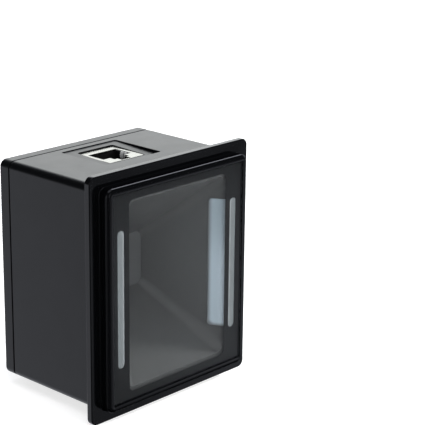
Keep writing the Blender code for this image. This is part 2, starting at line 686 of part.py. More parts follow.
def place_screws(name, mesh, places, y, turn):
    """Copies of one screw, each its own object. A half turn points them forward instead of back."""
    for index, (x, z) in enumerate(places):
        piece = bpy.data.objects.new(f"{name}_{index + 1}", mesh)
        piece.location = (x, y, z)
        piece.rotation_euler = (0.0, 0.0, turn)
        bpy.context.scene.collection.objects.link(piece)


def build_camera(bracket_material, metal, lens_material, board_material, chip_material):
    """Bracket on the funnel's end, lens holder, barrel and lens, sensor, board and two screws."""
    axis = (0.0, MID_Z)
    half = FUNNEL_FLANGE_HALF
    corner = FUNNEL_REAR_CORNER
    bracket_back = BRACKET_Y + BRACKET_THICKNESS
    bracket = plate("camera_bracket", half, corner, BRACKET_Y, bracket_back, bracket_material)
    leg_x = half[0] - BRACKET_LEG_SIDE / 2
    leg_z = half[1] - BRACKET_LEG_SIDE / 2
    places = [(side * leg_x, MID_Z + side * leg_z) for side in (-1, 1)]
    leg_end = CAMERA_BOARD_Y - GAP
    for x, z in places:
        reach = BRACKET_LEG_SIDE / 2
        low = (x - reach, bracket_back - OVERLAP, z - reach)
        high = (x + reach, leg_end, z + reach)
        combine(bracket, block("leg", low, high, bracket_material), "UNION")
    bore = rod("bore", axis, BARREL_RADIUS + GAP, BRACKET_Y - GAP, bracket_back + GAP, bracket_material)
    combine(bracket, bore, "DIFFERENCE")
    board_back = CAMERA_BOARD_Y + CAMERA_BOARD_THICKNESS
    screw_end = board_back + GAP - CAMERA_SCREW_LENGTH
    board = plate("camera_board", half, corner, CAMERA_BOARD_Y, board_back, board_material)
    hole_radius = CAMERA_SCREW_RADIUS + GAP
    for place in places:
        hole = rod("hole", place, hole_radius, screw_end - GAP, leg_end + GAP, bracket_material)
        combine(bracket, hole, "DIFFERENCE")
        hole = rod("hole", place, hole_radius, leg_end, board_back + GAP, board_material)
        combine(board, hole, "DIFFERENCE")
    build_lens_holder(axis, bracket_material)
    build_lens(axis, metal, lens_material)
    sensor_back = CAMERA_BOARD_Y - GAP
    low = (-SENSOR_SIDE / 2, sensor_back - SENSOR_THICKNESS, MID_Z - SENSOR_SIDE / 2)
    block("image_sensor", low, (SENSOR_SIDE / 2, sensor_back, MID_Z + SENSOR_SIDE / 2), chip_material)
    shank = (CAMERA_SCREW_RADIUS, CAMERA_SCREW_LENGTH)
    mesh = screw_mesh("camera_screw", shank, (CAMERA_HEAD_RADIUS, CAMERA_HEAD_HEIGHT), metal)
    head_top = board_back + GAP + CAMERA_HEAD_HEIGHT
    place_screws("camera_screw", mesh, places, head_top, math.pi)


def build_lens_holder(axis, material):
    """Square block with the barrel's bore in front and the sensor's pocket behind."""
    back = HOLDER_Y + HOLDER_DEPTH
    half = (HOLDER_SIDE / 2, HOLDER_SIDE / 2)
    holder = plate("lens_holder", half, FUNNEL_REAR_CORNER, HOLDER_Y, back, material)
    bore = rod("bore", axis, BARREL_RADIUS + GAP, HOLDER_Y - GAP, back + GAP, material)
    combine(holder, bore, "DIFFERENCE")
    reach = SENSOR_SIDE / 2 + GAP
    low = (-reach, back - SENSOR_THICKNESS - GAP, MID_Z - reach)
    pocket = block("pocket", low, (reach, back + GAP, MID_Z + reach), material)
    combine(holder, pocket, "DIFFERENCE")
    return holder


def build_lens(axis, barrel_material, lens_material):
    """Barrel with a stepped bore, and a domed lens in its mouth."""
    back = min(BARREL_Y + BARREL_LENGTH, CAMERA_BOARD_Y - 3 * GAP - SENSOR_THICKNESS)
    seat_y = BARREL_Y + GAP + LENS_DOME + LENS_RIM + GAP
    mouth = LENS_RADIUS + GAP
    profile = [(mouth, BARREL_Y), (BARREL_RADIUS, BARREL_Y), (BARREL_RADIUS, back), (mouth, back)]
    profile += [(IRIS_RADIUS, seat_y + 2 * GAP), (IRIS_RADIUS, seat_y), (mouth, seat_y)]
    turned("lens_barrel", axis, profile, barrel_material, loop=True)
    dome_y = BARREL_Y + GAP
    profile = []
    for step in range(1, EDGE_STEPS + 1):
        angle = math.radians(90 * step / EDGE_STEPS)
        profile.append((LENS_RADIUS * math.sin(angle), dome_y + LENS_DOME * (1 - math.cos(angle))))
    profile.append((LENS_RADIUS, dome_y + LENS_DOME + LENS_RIM))
    turned("lens_element", axis, profile, lens_material)


def build_main_board(board_material, chip_material, plastic, metal):
    """Main board behind the camera, with chips, buzzer, connectors and four screws."""
    mid_z = (BOARD_TOP_Z + BOARD_BOTTOM_Z) / 2
    half = (BOARD_HALF_WIDTH, (BOARD_TOP_Z - BOARD_BOTTOM_Z) / 2)
    outline = rounded_rect(half, MAIN_BOARD_CORNER)
    rings = [ring_y(outline, y, (0.0, mid_z)) for y in (MAIN_BOARD_Y, MAIN_BOARD_BACK_Y)]
    board = solid("main_board", rings, board_material)
    hole_radius = BOARD_SCREW_RADIUS + GAP
    for place in BOARD_SCREWS:
        hole = rod("hole", place, hole_radius, MAIN_BOARD_Y - GAP, MAIN_BOARD_BACK_Y + GAP, board_material)
        combine(board, hole, "DIFFERENCE")
    shank = (BOARD_SCREW_RADIUS, BOARD_SCREW_LENGTH)
    mesh = screw_mesh("board_screw", shank, (BOARD_HEAD_RADIUS, BOARD_HEAD_HEIGHT), metal)
    place_screws("board_screw", mesh, BOARD_SCREWS, ON_BOARD_Y - BOARD_HEAD_HEIGHT, 0.0)
    chip_x = BOARD_HALF_WIDTH - CHIP_EDGE_GAP
    on_board("processor", -chip_x, MID_Z, (PROCESSOR_SIDE, PROCESSOR_SIDE, CHIP_THICKNESS), chip_material)
    on_board("memory_chip", chip_x, MID_Z, (MEMORY_WIDTH, MEMORY_HEIGHT, CHIP_THICKNESS), chip_material)
    buzzer_x = -(JACK_WIDTH / 2 + BUZZER_SIDE_GAP + BUZZER_RADIUS)
    buzzer_z = JACK_BOTTOM_Z + BUZZER_RISE + BUZZER_RADIUS
    top_y = ON_BOARD_Y - BUZZER_HEIGHT
    profile = [(BUZZER_PORT_RADIUS, top_y), (BUZZER_RADIUS, top_y)]
    profile += [(BUZZER_RADIUS, ON_BOARD_Y), (BUZZER_PORT_RADIUS, ON_BOARD_Y)]
    turned("buzzer", (buzzer_x, buzzer_z), profile, plastic, loop=True)


def on_board(name, x, z, size, material):
    """Box-shaped component on the main board's front face, about (x, z), sized (width, height, rise)."""
    width, height, rise = size
    low = (x - width / 2, ON_BOARD_Y - rise, z - height / 2)
    return block(name, low, (x + width / 2, ON_BOARD_Y, z + height / 2), material)


def build_flex(flex_material, plastic):
    """Ribbon from the camera board's back down to its connector on the main board."""
    connector_z = CHIP_ROW_Z
    size = (FLEX_CONNECTOR_WIDTH, FLEX_CONNECTOR_HEIGHT, FLEX_CONNECTOR_RISE)
    on_board("flex_connector", 0.0, connector_z, size, plastic)
    top_y = CAMERA_BOARD_Y + CAMERA_BOARD_THICKNESS + GAP + FLEX_THICKNESS / 2
    low_y = ON_BOARD_Y - FLEX_CONNECTOR_RISE - GAP - FLEX_THICKNESS / 2
    top_z = MID_Z - CAMERA_OPENING_HEIGHT / 4
    drop = top_z - connector_z
    points = ((0, top_y, top_z), (0, top_y, top_z - drop / 2), (0, low_y, connector_z + drop / 2))
    curve = bezier(points + ((0, low_y, connector_z),), CABLE_STEPS)
    path = [(point.y, point.z) for point in curve]
    strip("camera_flex", path, FLEX_THICKNESS, FLEX_WIDTH, 0.0, flex_material)


def build_led_cables(cable_material, plastic):
    """Round cable from each LED board back to its connector on the main board."""
    start_y = LED_BOARD_Y + LED_BOARD_THICKNESS + GAP
    end_y = ON_BOARD_Y - CABLE_CONNECTOR_RISE - GAP
    connector_z = CHIP_ROW_Z + CABLE_CONNECTOR_HEIGHT / 2
    size = (CABLE_CONNECTOR_WIDTH, CABLE_CONNECTOR_HEIGHT, CABLE_CONNECTOR_RISE)
    start_x = (funnel_outside(LED_Y)[0] + LED_TO_FUNNEL + LED_BOARD_OUTER_X) / 2
    start_z = MID_Z - BAR_HALF_LENGTH
    end_x = BOARD_HALF_WIDTH - CABLE_CONNECTOR_WIDTH / 2
    third = (end_y - start_y) / 3
    for side, word in ((-1, "left"), (1, "right")):
        x = side * end_x
        on_board("cable_connector_" + word, x, connector_z, size, plastic)
        start = (side * start_x, start_y, start_z)
        pull_out = (side * start_x, start_y + third, start_z)
        pull_in = (x, end_y - third, connector_z)
        end = (x, end_y, connector_z)
        route = bezier((start, pull_out, pull_in, end), CABLE_STEPS)
        add_cable("led_cable_" + word, route, cable_material)


def add_cable(name, points, material):
    """Round cable as a bevelled curve with closed ends."""
    curve = bpy.data.curves.new(name, "CURVE")
    curve.dimensions = "3D"
    curve.bevel_depth = CABLE_RADIUS
    curve.bevel_resolution = 2
    curve.use_fill_caps = True
    spline = curve.splines.new("POLY")
    spline.points.add(len(points) - 1)
    for spot, point in zip(spline.points, points):
        spot.co = (*point, 1.0)
    curve.materials.append(material)
    cable = bpy.data.objects.new(name, curve)
    bpy.context.scene.collection.objects.link(cable)
    return cable


def socket_outline():
    """The socket's stepped mouth in (x, y): contacts at the back, latch notch at the front."""
    latch_y = SOCKET_FRONT_Y - LATCH_HEIGHT
    key_y = JACK_FRONT_Y + KEY_MARGIN
    half = SOCKET_WIDTH / 2
    latch = LATCH_WIDTH / 2
    key = KEY_WIDTH / 2
    right = [(key, key_y), (key, latch_y), (latch, latch_y), (latch, SOCKET_FRONT_Y)]
    right += [(half, SOCKET_FRONT_Y), (half, SOCKET_REAR_Y)]
    return right + [(-x, y) for x, y in reversed(right)]


def build_jack(shield_material, insert_material, contact_material):
    """Metal shell open below, plastic insert with the socket, and the spring contacts in it."""
    half = (JACK_WIDTH / 2, JACK_THICKNESS / 2)
    low = (-half[0], JACK_FRONT_Y, JACK_BOTTOM_Z)
    shield = block("jack_shield", low, (half[0], JACK_REAR_Y, JACK_TOP_Z), shield_material)
    inner_low = (-half[0] + SHIELD_WALL, JACK_FRONT_Y + SHIELD_WALL, JACK_BOTTOM_Z - GAP)
    inner_high = (half[0] - SHIELD_WALL, JACK_REAR_Y - SHIELD_WALL, JACK_TOP_Z - SHIELD_WALL)
    combine(shield, block("inside", inner_low, inner_high, shield_material), "DIFFERENCE")
    outline = socket_outline()
    mouth = upright("mouth", outline, JACK_TOP_Z - 2 * SHIELD_WALL, JACK_TOP_Z + GAP, shield_material)
    combine(shield, mouth, "DIFFERENCE")
    clear = SHIELD_WALL + GAP
    low = (-half[0] + clear, JACK_FRONT_Y + clear, JACK_BOTTOM_Z)
    high = (half[0] - clear, JACK_REAR_Y - clear, JACK_TOP_Z - clear)
    insert = block("jack_insert", low, high, insert_material)
    socket = upright("socket", outline, JACK_TOP_Z - SOCKET_LENGTH, JACK_TOP_Z, insert_material)
    combine(insert, socket, "DIFFERENCE")
    build_contacts(contact_material)


def build_contacts(material):
    """Spring wires along the socket's back wall, bent forward into the plug's way."""
    wall_y = SOCKET_REAR_Y - GAP - CONTACT_THICKNESS / 2
    top_z = JACK_TOP_Z - CONTACT_START
    low_z = top_z - CONTACT_LENGTH
    spring_y = wall_y - 3 * CONTACT_THICKNESS
    path = [(wall_y, low_z), (wall_y, top_z - CONTACT_THICKNESS)]
    path += [(wall_y - CONTACT_THICKNESS, top_z), (spring_y, top_z - CONTACT_THICKNESS)]
    path += [(spring_y - CONTACT_SPRING, low_z)]
    for index in range(CONTACT_COUNT):
        x = (index - (CONTACT_COUNT - 1) / 2) * CONTACT_PITCH
        strip(f"jack_contact_{index + 1}", path, CONTACT_THICKNESS, CONTACT_WIDTH, x, material)


def build_cover_screws(metal):
    """Screws through the rear cover into the housing's pillars, heads sunk in the back."""
    shank = (COVER_SCREW_RADIUS, COVER_SCREW_LENGTH)
    mesh = screw_mesh("cover_screw", shank, (COVER_HEAD_RADIUS, COVER_HEAD_HEIGHT), metal)
    place_screws("cover_screw", mesh, PILLARS, REAR_Y - HEAD_SINK, math.pi)


def main():
    clear_scene()
    black = make_material("housing_black", (0.012, 0.013, 0.014), 0.42)
    cover_black = make_material("cover_black", (0.013, 0.014, 0.015), 0.44)
    glass = make_material("clear_glass", (0.85, 0.88, 0.88), 0.04, alpha=0.2)
    mask = make_material("mask_black", (0.010, 0.010, 0.011), 0.20)
    tape = make_material("tape_black", (0.02, 0.02, 0.02), 0.9)
    grey = make_material("baffle_grey", (0.10, 0.10, 0.10), 0.35)
    bar = make_material("bar_white", (0.62, 0.66, 0.66), 0.4)
    milky = make_material("diffuser_milky", (0.72, 0.78, 0.82), 0.45)
    board = make_material("board_green", (0.02, 0.12, 0.06), 0.5)
    led = make_material("led_yellow", (0.80, 0.75, 0.45), 0.4)
    dark = make_material("bracket_dark", (0.03, 0.03, 0.032), 0.5)
    lens = make_material("lens_glass", (0.10, 0.12, 0.16), 0.03)
    chip = make_material("chip_black", (0.02, 0.02, 0.022), 0.55)
    plastic = make_material("plastic_cream", (0.70, 0.68, 0.60), 0.5)
    flex = make_material("flex_amber", (0.55, 0.28, 0.06), 0.4)
    cable = make_material("cable_black", (0.02, 0.02, 0.02), 0.6)
    steel = make_material("screw_steel", (0.45, 0.45, 0.46), 0.35, metallic=1.0)
    nickel = make_material("shield_nickel", (0.80, 0.80, 0.78), 0.22, metallic=1.0)
    insert = make_material("insert_black", (0.015, 0.015, 0.016), 0.5)
    gold = make_material("contact_gold", (0.83, 0.62, 0.25), 0.25, metallic=1.0)
    build_housing(black)
    build_rear_cover(cover_black)
    build_window(glass, mask, tape)
    build_baffle(grey)
    build_lights(bar, milky, board, led)
    build_camera(dark, steel, lens, board, chip)
    build_main_board(board, chip, dark, steel)
    build_flex(flex, plastic)
    build_led_cables(cable, plastic)
    build_jack(nickel, insert, gold)
    build_cover_screws(steel)


main()
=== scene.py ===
"""Looks for the fixed barcode reader: camera, soft studio light, finishes and fine pieces.

Metres, +Z up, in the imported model's own frame. The window faces -Y, and +X is to the right seen from
the front. Outlines come from the frame's solids. The pieces made here repeat them with finer curves,
edges and finishes.
"""
import math

import bmesh
import bpy
from mathutils import Matrix, Vector


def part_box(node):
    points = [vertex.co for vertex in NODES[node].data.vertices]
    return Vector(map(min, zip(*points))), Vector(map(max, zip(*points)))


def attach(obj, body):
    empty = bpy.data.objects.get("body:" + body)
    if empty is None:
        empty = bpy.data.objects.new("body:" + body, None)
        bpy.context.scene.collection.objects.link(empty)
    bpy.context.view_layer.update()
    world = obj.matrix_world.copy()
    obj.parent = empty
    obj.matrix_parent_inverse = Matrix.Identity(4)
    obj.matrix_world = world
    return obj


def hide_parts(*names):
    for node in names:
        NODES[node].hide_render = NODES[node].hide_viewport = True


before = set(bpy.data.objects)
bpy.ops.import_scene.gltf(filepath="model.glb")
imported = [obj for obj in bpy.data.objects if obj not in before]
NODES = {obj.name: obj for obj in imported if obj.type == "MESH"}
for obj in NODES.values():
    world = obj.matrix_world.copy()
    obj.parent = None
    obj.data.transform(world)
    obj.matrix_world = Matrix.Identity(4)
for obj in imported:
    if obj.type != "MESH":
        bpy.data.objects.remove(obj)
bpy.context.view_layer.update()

# Camera: place, turn about each axis in radians, focal length in the photo's pixels, nearest distance
CAMERA_PLACE = (-0.31268, -0.32630, 0.19442)
CAMERA_YAW = 0.82900
CAMERA_PITCH = 0.29867
CAMERA_ROLL = 0.01396
SENSOR_WIDTH = 36.0
PHOTO_WIDTH = 440.0
FOCAL_PIXELS = 1521.3
CLIP_START = 0.01

# Pale floor, with a little glow that keeps its shadows light
FLOOR_SIZE = 8.0
FLOOR_COLOR = (0.52, 0.52, 0.52)
FLOOR_GLOW = 0.74

# What the gloss mirrors: a white sweep behind, higher at the right, and a nearly dark room elsewhere
SWEEP_FRONT = (0.34, 0.62)
SWEEP_SIDE = (-0.15, 0.55)
SWEEP_TOP = (-0.20, 0.02)
SWEEP_RISE = 0.70
SWEEP_LEFT_COLOR = (0.95, 0.98, 1.08)
SWEEP_LEFT_STRENGTH = 0.69
SWEEP_RIGHT_COLOR = (0.98, 1.01, 1.01)
SWEEP_RIGHT_STRENGTH = 1.05
DARK_COLOR = (0.93, 0.97, 1.08)
DARK_STRENGTH = 0.045

# Soft round cards in the same surroundings: towards, the cosines at the soft edge, and strength
CARDS = {
    "behind": ((0.66, 0.68, 0.33), (0.80, 0.97), 0.60),
    "strip": ((0.653, 0.32, 0.68), (0.980, 0.994), 2.4),
    "low_front": ((0.70, -0.635, -0.330), (0.9936, 0.9998), 0.33),
    "right": ((1.0, 0.0, -0.10), (0.866, 0.97), 0.35),
    "left": ((-1.0, 0.0, 0.05), (0.87, 0.98), 0.35),
    "front": ((-0.1, -1.0, 0.15), (0.90, 0.985), 0.30),
    "above": ((0.0, 0.0, 1.0), (0.82, 0.96), 0.60),
}

# The table that the front mirrors low down: its side, its start and end going down, and its strength.
# The room's own glow ends with it
TABLE_SIDE = (-0.2, 0.5)
TABLE_DEPTH = (0.262, 0.292)
TABLE_END = (0.41, 0.60)
TABLE_STRENGTH = 0.150

# Lamps that light surfaces but don't show in the gloss: place, width and power
LAMPS = {
    "high_fill": ((-0.6, -0.9, 3.0), 3.2, 60.0),
    "front_fill": ((-0.5, -2.6, 0.8), 2.4, 40.0),
    "side_light": ((1.75, -0.57, 1.15), 0.45, 72.0),
}

# Fineness of the curves, the angles over a quarter round, and the sharpest turn in degrees that is
# still shaded smooth
CORNER_STEPS = 12
EDGE_STEPS = 6
ROOT_STEPS = 3
RECESS_STEPS = 2
ROUND_STEPS = 48
QUARTER = [math.radians(90 * step / EDGE_STEPS) for step in range(EDGE_STEPS + 1)]
SMOOTH_ANGLE = 32.0
MIN_CORNER = 0.0001

# Housing sizes that aren't a box side of some solid
FIT_GAP = 0.0003
GLASS_GAP = 0.0001
WALL = 0.0020
RIM_MARGIN = 0.0037
RIM_HEIGHT = 0.0037
RIM_CORNER = 0.0024
RIM_EDGE = 0.0012
FLANGE_THICKNESS = 0.0021
FLANGE_CORNER = 0.0022
FLANGE_EDGE = 0.0003
BODY_CORNER = 0.0023
LIP_WIDTH = 0.0019
LEDGE_WIDTH = 0.0014
LEDGE_THICKNESS = 0.0012
ROOT_RADIUS = 0.00025
RECESS_EDGE = 0.00012
SEAM_EDGE = 0.00025
COVER_EDGE = 0.0008
PILLAR_RADIUS = 0.0028
PILLAR_INSET = 0.0026
PILLAR_LENGTH = 0.0290
SNAP_REACH = 0.0007
SNAP_DEPTH = 0.0012
SNAP_LENGTH = 0.0060
SNAP_SPACING = 0.0360
OVERLAP = 0.0002

# Rear cover
TONGUE_REACH = 0.0012
TONGUE_THICKNESS = 0.0010
BOSS_RADIUS = 0.0023
SEAT_EDGE = 0.0002

# Connector pocket, whose floor lies a little deeper at the front than at the back
POCKET_MARGIN_X = 0.0042
POCKET_MARGIN_Y = 0.0031
POCKET_CORNER = 0.0007
POCKET_FRONT_DEPTH = 0.0009
POCKET_REAR_DEPTH = 0.0003
POCKET_FILLET = 0.0002
POCKET_LIP = 0.00012

# Window and light bars
GLASS_EDGE = 0.00015
PRINT_CLEARANCE = 0.00002
PRINT_THICKNESS = 0.00008
SIDE_BORDER = 0.0069
END_BORDER = 0.0025
WINDOW_CORNER = 0.0018
BAR_EDGE = 0.0003
BAR_SPREAD = 0.00012
# Width of the painted highlight along each bar's edge nearer to the window
BAR_PAINTED_HIGHLIGHT_WIDTH = 0.0009

# Funnel between window and camera
BAFFLE_WALL = 0.0012
FUNNEL_RIB = 0.0005
FUNNEL_LIP = 0.0010
FUNNEL_FRONT_CORNER = 0.0040
FUNNEL_REAR_CORNER = 0.0026
FUNNEL_FLANGE = 0.0008
CAMERA_OPENING_HALF = (0.0085, 0.0088)
LED_POST_WIDTH = 0.0024
LED_POST_HEIGHT = 0.0025
LED_POST_GAP = 0.0006
DIFFUSER_REACH = 0.0051
DIFFUSER_THICKNESS = 0.0007
DIFFUSER_CORNER = 0.0012
DIFFUSER_EDGE = 0.0002
DIFFUSER_GAP = 0.00005

# Painted light and shade on the milky panels: painted shade round the lower back corner, painted light along
# the front edge, and painted shade upward
PANEL_ROUND = 0.0024
PANEL_FADE = 0.0014
PANEL_FRONT_FADE = 0.0024
PANEL_RISE = (-0.002, 0.016)

# Connector: folded shell with its mouth, and two spring prongs in each side of the mouth
SHIELD_WALL = 0.0003
SHIELD_FOLD = 0.0005
SHIELD_EDGE = 0.00012
SOCKET_HALF_WIDTH = 0.005875
SOCKET_HEIGHT = 0.0070
SOCKET_REAR_MARGIN = 0.0030
LATCH_HALF_WIDTH = 0.0031
LATCH_HEIGHT = 0.0020
KEY_HALF_WIDTH = 0.0019
KEY_MARGIN = 0.0004
PRONGS = ((0.0054, 0.0063), (0.0067, 0.0080))
PRONG_THICKNESS = 0.00015
PRONG_LEAN = 0.00045
PRONG_LENGTH = 0.0026

# Screws: shank radius, head radius, head height and thread pitch
SCREW_KINDS = {
    "cover_screw": (0.0011, 0.0022, 0.0013, 0.0008),
    "board_screw": (0.0009, 0.0017, 0.0011, 0.0006),
    "camera_screw": (0.0007, 0.0014, 0.0009, 0.0005),
}
COVER_SHANK, COVER_HEAD, COVER_HEAD_HEIGHT = SCREW_KINDS["cover_screw"][:3]
BOARD_SHANK = SCREW_KINDS["board_screw"][0]
SCREW_AXIS = (0.0, 0.0)

# Thread with its rows of points to a turn, tip, head and cross recess, as shares of a screw's sizes
THREAD_DEPTH = 0.16
THREAD_ROWS = 4
TIP_SHARE = 0.45
TIP_LENGTH = 2.2
HEAD_FLAT = 0.55
HEAD_SHOULDER = 0.45
RECESS_ARM = 0.55
RECESS_HALF_WIDTH = 0.14
RECESS_DEPTH = 0.6
RECESS_TAPER = 0.62

# Lens barrel and lens
BARREL_EDGE = 0.00015
BARREL_RIDGE = 0.00035
BARREL_RIDGE_DEPTH = 0.00008
KEY_SLOT_WIDTH = 0.0007
KEY_SLOT_DEPTH = 0.00025
MOUTH_RADIUS = 0.0025
IRIS_RADIUS = 0.0011
LENS_DOME = 0.0006
LENS_RIM = 0.0006
LENS_STEPS = 14

# Slots of the colour mix node
MIX_FIRST = 6
MIX_SECOND = 7
MIX_RESULT = 2

# Circuit board pattern, by scale and by distance in its own cells
TRACK_SCALE = 420.0
TRACK_EDGE = (0.035, 0.055)
TRACK_HEIGHT = 0.000035
HOLE_SCALE = 230.0
HOLE_SCATTER = 0.7
PAD_EDGE = (0.10, 0.12)
HOLE_EDGE = (0.045, 0.060)

# Noise in the finishes
NOISE_ROUGHNESS = 0.5
PATCH_DETAIL = 4.0
STREAK_SCALE = 2.3
STREAK_DETAIL = 5.0
STREAK_ROUGHNESS = 0.6
GRAIN_DETAIL = 2.0

# Clear pane
GLASS_IOR = 1.32
GLASS_TINT = (0.97, 0.98, 0.98)
SMUDGE_SCALE = 90.0
SMUDGE_GLOSS = 0.05

# Colours that change over a surface, and the housing's black: the bars' painted highlight, the milky panels'
# painted light and shade, and the board's tracks, pads and holes
BODY_BLACK = (0.0010, 0.0011, 0.0014)
BAR_PAINTED_HIGHLIGHT_COLOR = (0.29, 0.30, 0.31)
PANEL_PAINTED_LIGHT_COLOR = (0.62, 0.71, 0.79)
PANEL_TOP_PAINTED_SHADE_COLOR = (0.32, 0.385, 0.435)
PANEL_END_PAINTED_SHADE_COLOR = (0.15, 0.16, 0.17)
TRACK_COLOR = (0.020, 0.150, 0.070)
PAD_COLOR = (0.62, 0.55, 0.36)
HOLE_COLOR = (0.01, 0.01, 0.01)

# What a finish has unless its own row says otherwise
USUAL_FINISH = {
    "metallic": 0.0,
    "specular": 0.5,
    "patch_scale": 60.0,
    "patch_change": 0.12,
    "gloss_change": 0.05,
    "grain_scale": 2500.0,
    "grain_depth": 0.00001,
    "grain_strength": 0.3,
    "stretch": (1.0, 1.0, 1.0),
}

# Finishes: colour, roughness, what differs from the usual, and how the names start of the pieces that
# keep their CAD shape and have this finish
MOULD_GRAIN = {"grain_scale": 3200.0, "grain_depth": 0.00002, "grain_strength": 0.35}
PLAIN_GRAIN = {"grain_depth": 0.00002}
INK_GRAIN = {"grain_depth": 0.000001, "grain_strength": 0.1}
EPOXY_GRAIN = {"grain_depth": 0.00003, "grain_strength": 0.6}
FOAM_GRAIN = {"grain_scale": 1500.0, "grain_depth": 0.00008, "grain_strength": 0.8}
COATING = {"specular": 0.9, "gloss_change": 0.02, "grain_strength": 0.0}
PLATING = {"metallic": 1.0, "patch_scale": 200.0, "patch_change": 0.08}
GILDING = {"metallic": 1.0, "patch_scale": 500.0, "stretch": (4.0, 1.0, 0.5)}
PHOSPHOR = {"patch_scale": 900.0, "grain_depth": 0.00002}
NYLON = {"patch_change": 0.06, "grain_depth": 0.00002}
FILM = {"patch_change": 0.2, "stretch": (6.0, 1.0, 0.3)}
MASK = {"patch_change": 0.2, "patch_scale": 300.0}
FINISHES = {
    "body_texture": (BODY_BLACK, 0.30, MOULD_GRAIN),
    "front_polish": (BODY_BLACK, 0.11, {"gloss_change": 0.03, "grain_strength": 0.1}),
    "cover_texture": (BODY_BLACK, 0.32, MOULD_GRAIN),
    "window_ink": ((0.006,) * 3, 0.3, INK_GRAIN),
    "baffle_plastic": ((0.068,) * 3, 0.38, {"patch_change": 0.05}),
    "bracket_plastic": ((0.078, 0.079, 0.080), 0.4, {"patch_change": 0.08}, "camera_bracket", "lens_holder"),
    "bar_plastic": ((0.155, 0.167, 0.174), 0.35, {"patch_change": 0.03}),
    "panel_plastic": ((0.415, 0.49, 0.555), 0.4, {"patch_change": 0.03}),
    "plated_steel": ((0.42, 0.42, 0.43), 0.30, {"metallic": 1.0, "patch_scale": 400.0, "gloss_change": 0.1}),
    "black_anodised": ((0.03, 0.03, 0.033), 0.32, {"metallic": 0.6, "stretch": (1.0, 8.0, 1.0)}),
    "coated_glass": ((0.018, 0.016, 0.045), 0.03, COATING),
    "nickel_plate": ((0.48, 0.475, 0.44), 0.24, PLATING),
    "spring_satin": ((0.74, 0.74, 0.73), 0.45, {"patch_scale": 300.0}),
    "foam_tape": ((0.012,) * 3, 0.9, FOAM_GRAIN, "window_tape"),
    "solder_mask": ((0.010, 0.085, 0.040), 0.30, MASK, "main_board", "camera_board", "led_board"),
    "led_phosphor": ((0.80, 0.72, 0.36), 0.35, PHOSPHOR, "status_led", "light_led"),
    "chip_epoxy": ((0.018, 0.018, 0.020), 0.55, EPOXY_GRAIN, "processor", "memory_chip", "image_sensor"),
    "buzzer_plastic": ((0.03, 0.03, 0.032), 0.45, PLAIN_GRAIN, "buzzer"),
    "cream_nylon": ((0.70, 0.67, 0.58), 0.5, NYLON, "flex_connector", "cable_connector"),
    "polyimide_film": ((0.50, 0.23, 0.04), 0.28, FILM, "camera_flex"),
    "cable_sheath": ((0.02,) * 3, 0.55, PLAIN_GRAIN, "led_cable"),
    "insert_nylon": ((0.006,) * 3, 0.5, PLAIN_GRAIN, "jack_insert"),
    "gold_plate": ((0.83, 0.60, 0.22), 0.22, GILDING, "jack_contact"),
}


def half_size(node):
    """Half width and half height of a CAD node, seen from the front."""
    low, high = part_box(node)
    return ((high.x - low.x) / 2, (high.z - low.z) / 2)


def inset(half, amount_x, amount_z=None):
    """A rectangle's half sizes drawn in by an amount on each side."""
    amount_z = amount_x if amount_z is None else amount_z
    return (half[0] - amount_x, half[1] - amount_z)


HOUSING_LOW, HOUSING_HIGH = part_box("housing")
GLASS_LOW, GLASS_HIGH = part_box("window_glass")
BAR_LOW, BAR_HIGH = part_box("light_bar_right")
JACK_LOW, JACK_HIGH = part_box("jack_shield")
BAFFLE_LOW, BAFFLE_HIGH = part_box("optical_baffle")
COVER_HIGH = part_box("rear_cover")[1]
TAPE_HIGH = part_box("window_tape")[1]
BOARD_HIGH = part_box("main_board")[1]
LED_BOARD_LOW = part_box("led_board_right")[0]

MID_Z = (HOUSING_LOW.z + HOUSING_HIGH.z) / 2
FRONT_Y = HOUSING_LOW.y
FLANGE_Y = FRONT_Y + RIM_HEIGHT
FLANGE_BACK_Y = FLANGE_Y + FLANGE_THICKNESS
HOUSING_REAR_Y = HOUSING_HIGH.y
COVER_FRONT_Y = HOUSING_REAR_Y + FIT_GAP
REAR_Y = COVER_HIGH.y
COVER_FLOOR_Y = REAR_Y - WALL
PRINT_Y = GLASS_HIGH.y + PRINT_CLEARANCE
PRINT_BACK_Y = PRINT_Y + PRINT_THICKNESS
LEDGE_Y = TAPE_HIGH.y + FIT_GAP
LEDGE_BACK_Y = LEDGE_Y + LEDGE_THICKNESS
PLATE_Y = LEDGE_BACK_Y + FIT_GAP
PLATE_BACK_Y = PLATE_Y + BAFFLE_WALL
POST_END_Y = LED_BOARD_LOW.y - FIT_GAP
FUNNEL_Y = BAFFLE_LOW.y
FUNNEL_END_Y = BAFFLE_HIGH.y
FUNNEL_NECK_Y = FUNNEL_END_Y - BAFFLE_WALL
FUNNEL_DEPTH = FUNNEL_END_Y - FUNNEL_Y
BODY_TOP_Z = COVER_HIGH.z

FLANGE_HALF = half_size("housing")
BODY_HALF = half_size("rear_cover")
INNER_HALF = inset(BODY_HALF, WALL)
RIM_HALF = inset(FLANGE_HALF, RIM_MARGIN)
GLASS_HALF = half_size("window_glass")
RECESS_HALF = inset(GLASS_HALF, -GLASS_GAP)
LEDGE_HALF = inset(GLASS_HALF, LEDGE_WIDTH - FIT_GAP)
WINDOW_HALF = inset(GLASS_HALF, SIDE_BORDER, END_BORDER)
BAR_HALF = half_size("light_bar_right")
BAR_X = (BAR_LOW.x + BAR_HIGH.x) / 2
INNER_CORNER = max(BODY_CORNER - WALL, MIN_CORNER)
GLASS_CORNER = RIM_CORNER - LIP_WIDTH
FUNNEL_FRONT_HALF = (BAR_LOW.x - FIT_GAP - FUNNEL_RIB, WINDOW_HALF[1] - FUNNEL_LIP)
SIDE_ANGLE = math.atan2(FUNNEL_FRONT_HALF[0] - CAMERA_OPENING_HALF[0], FUNNEL_DEPTH)
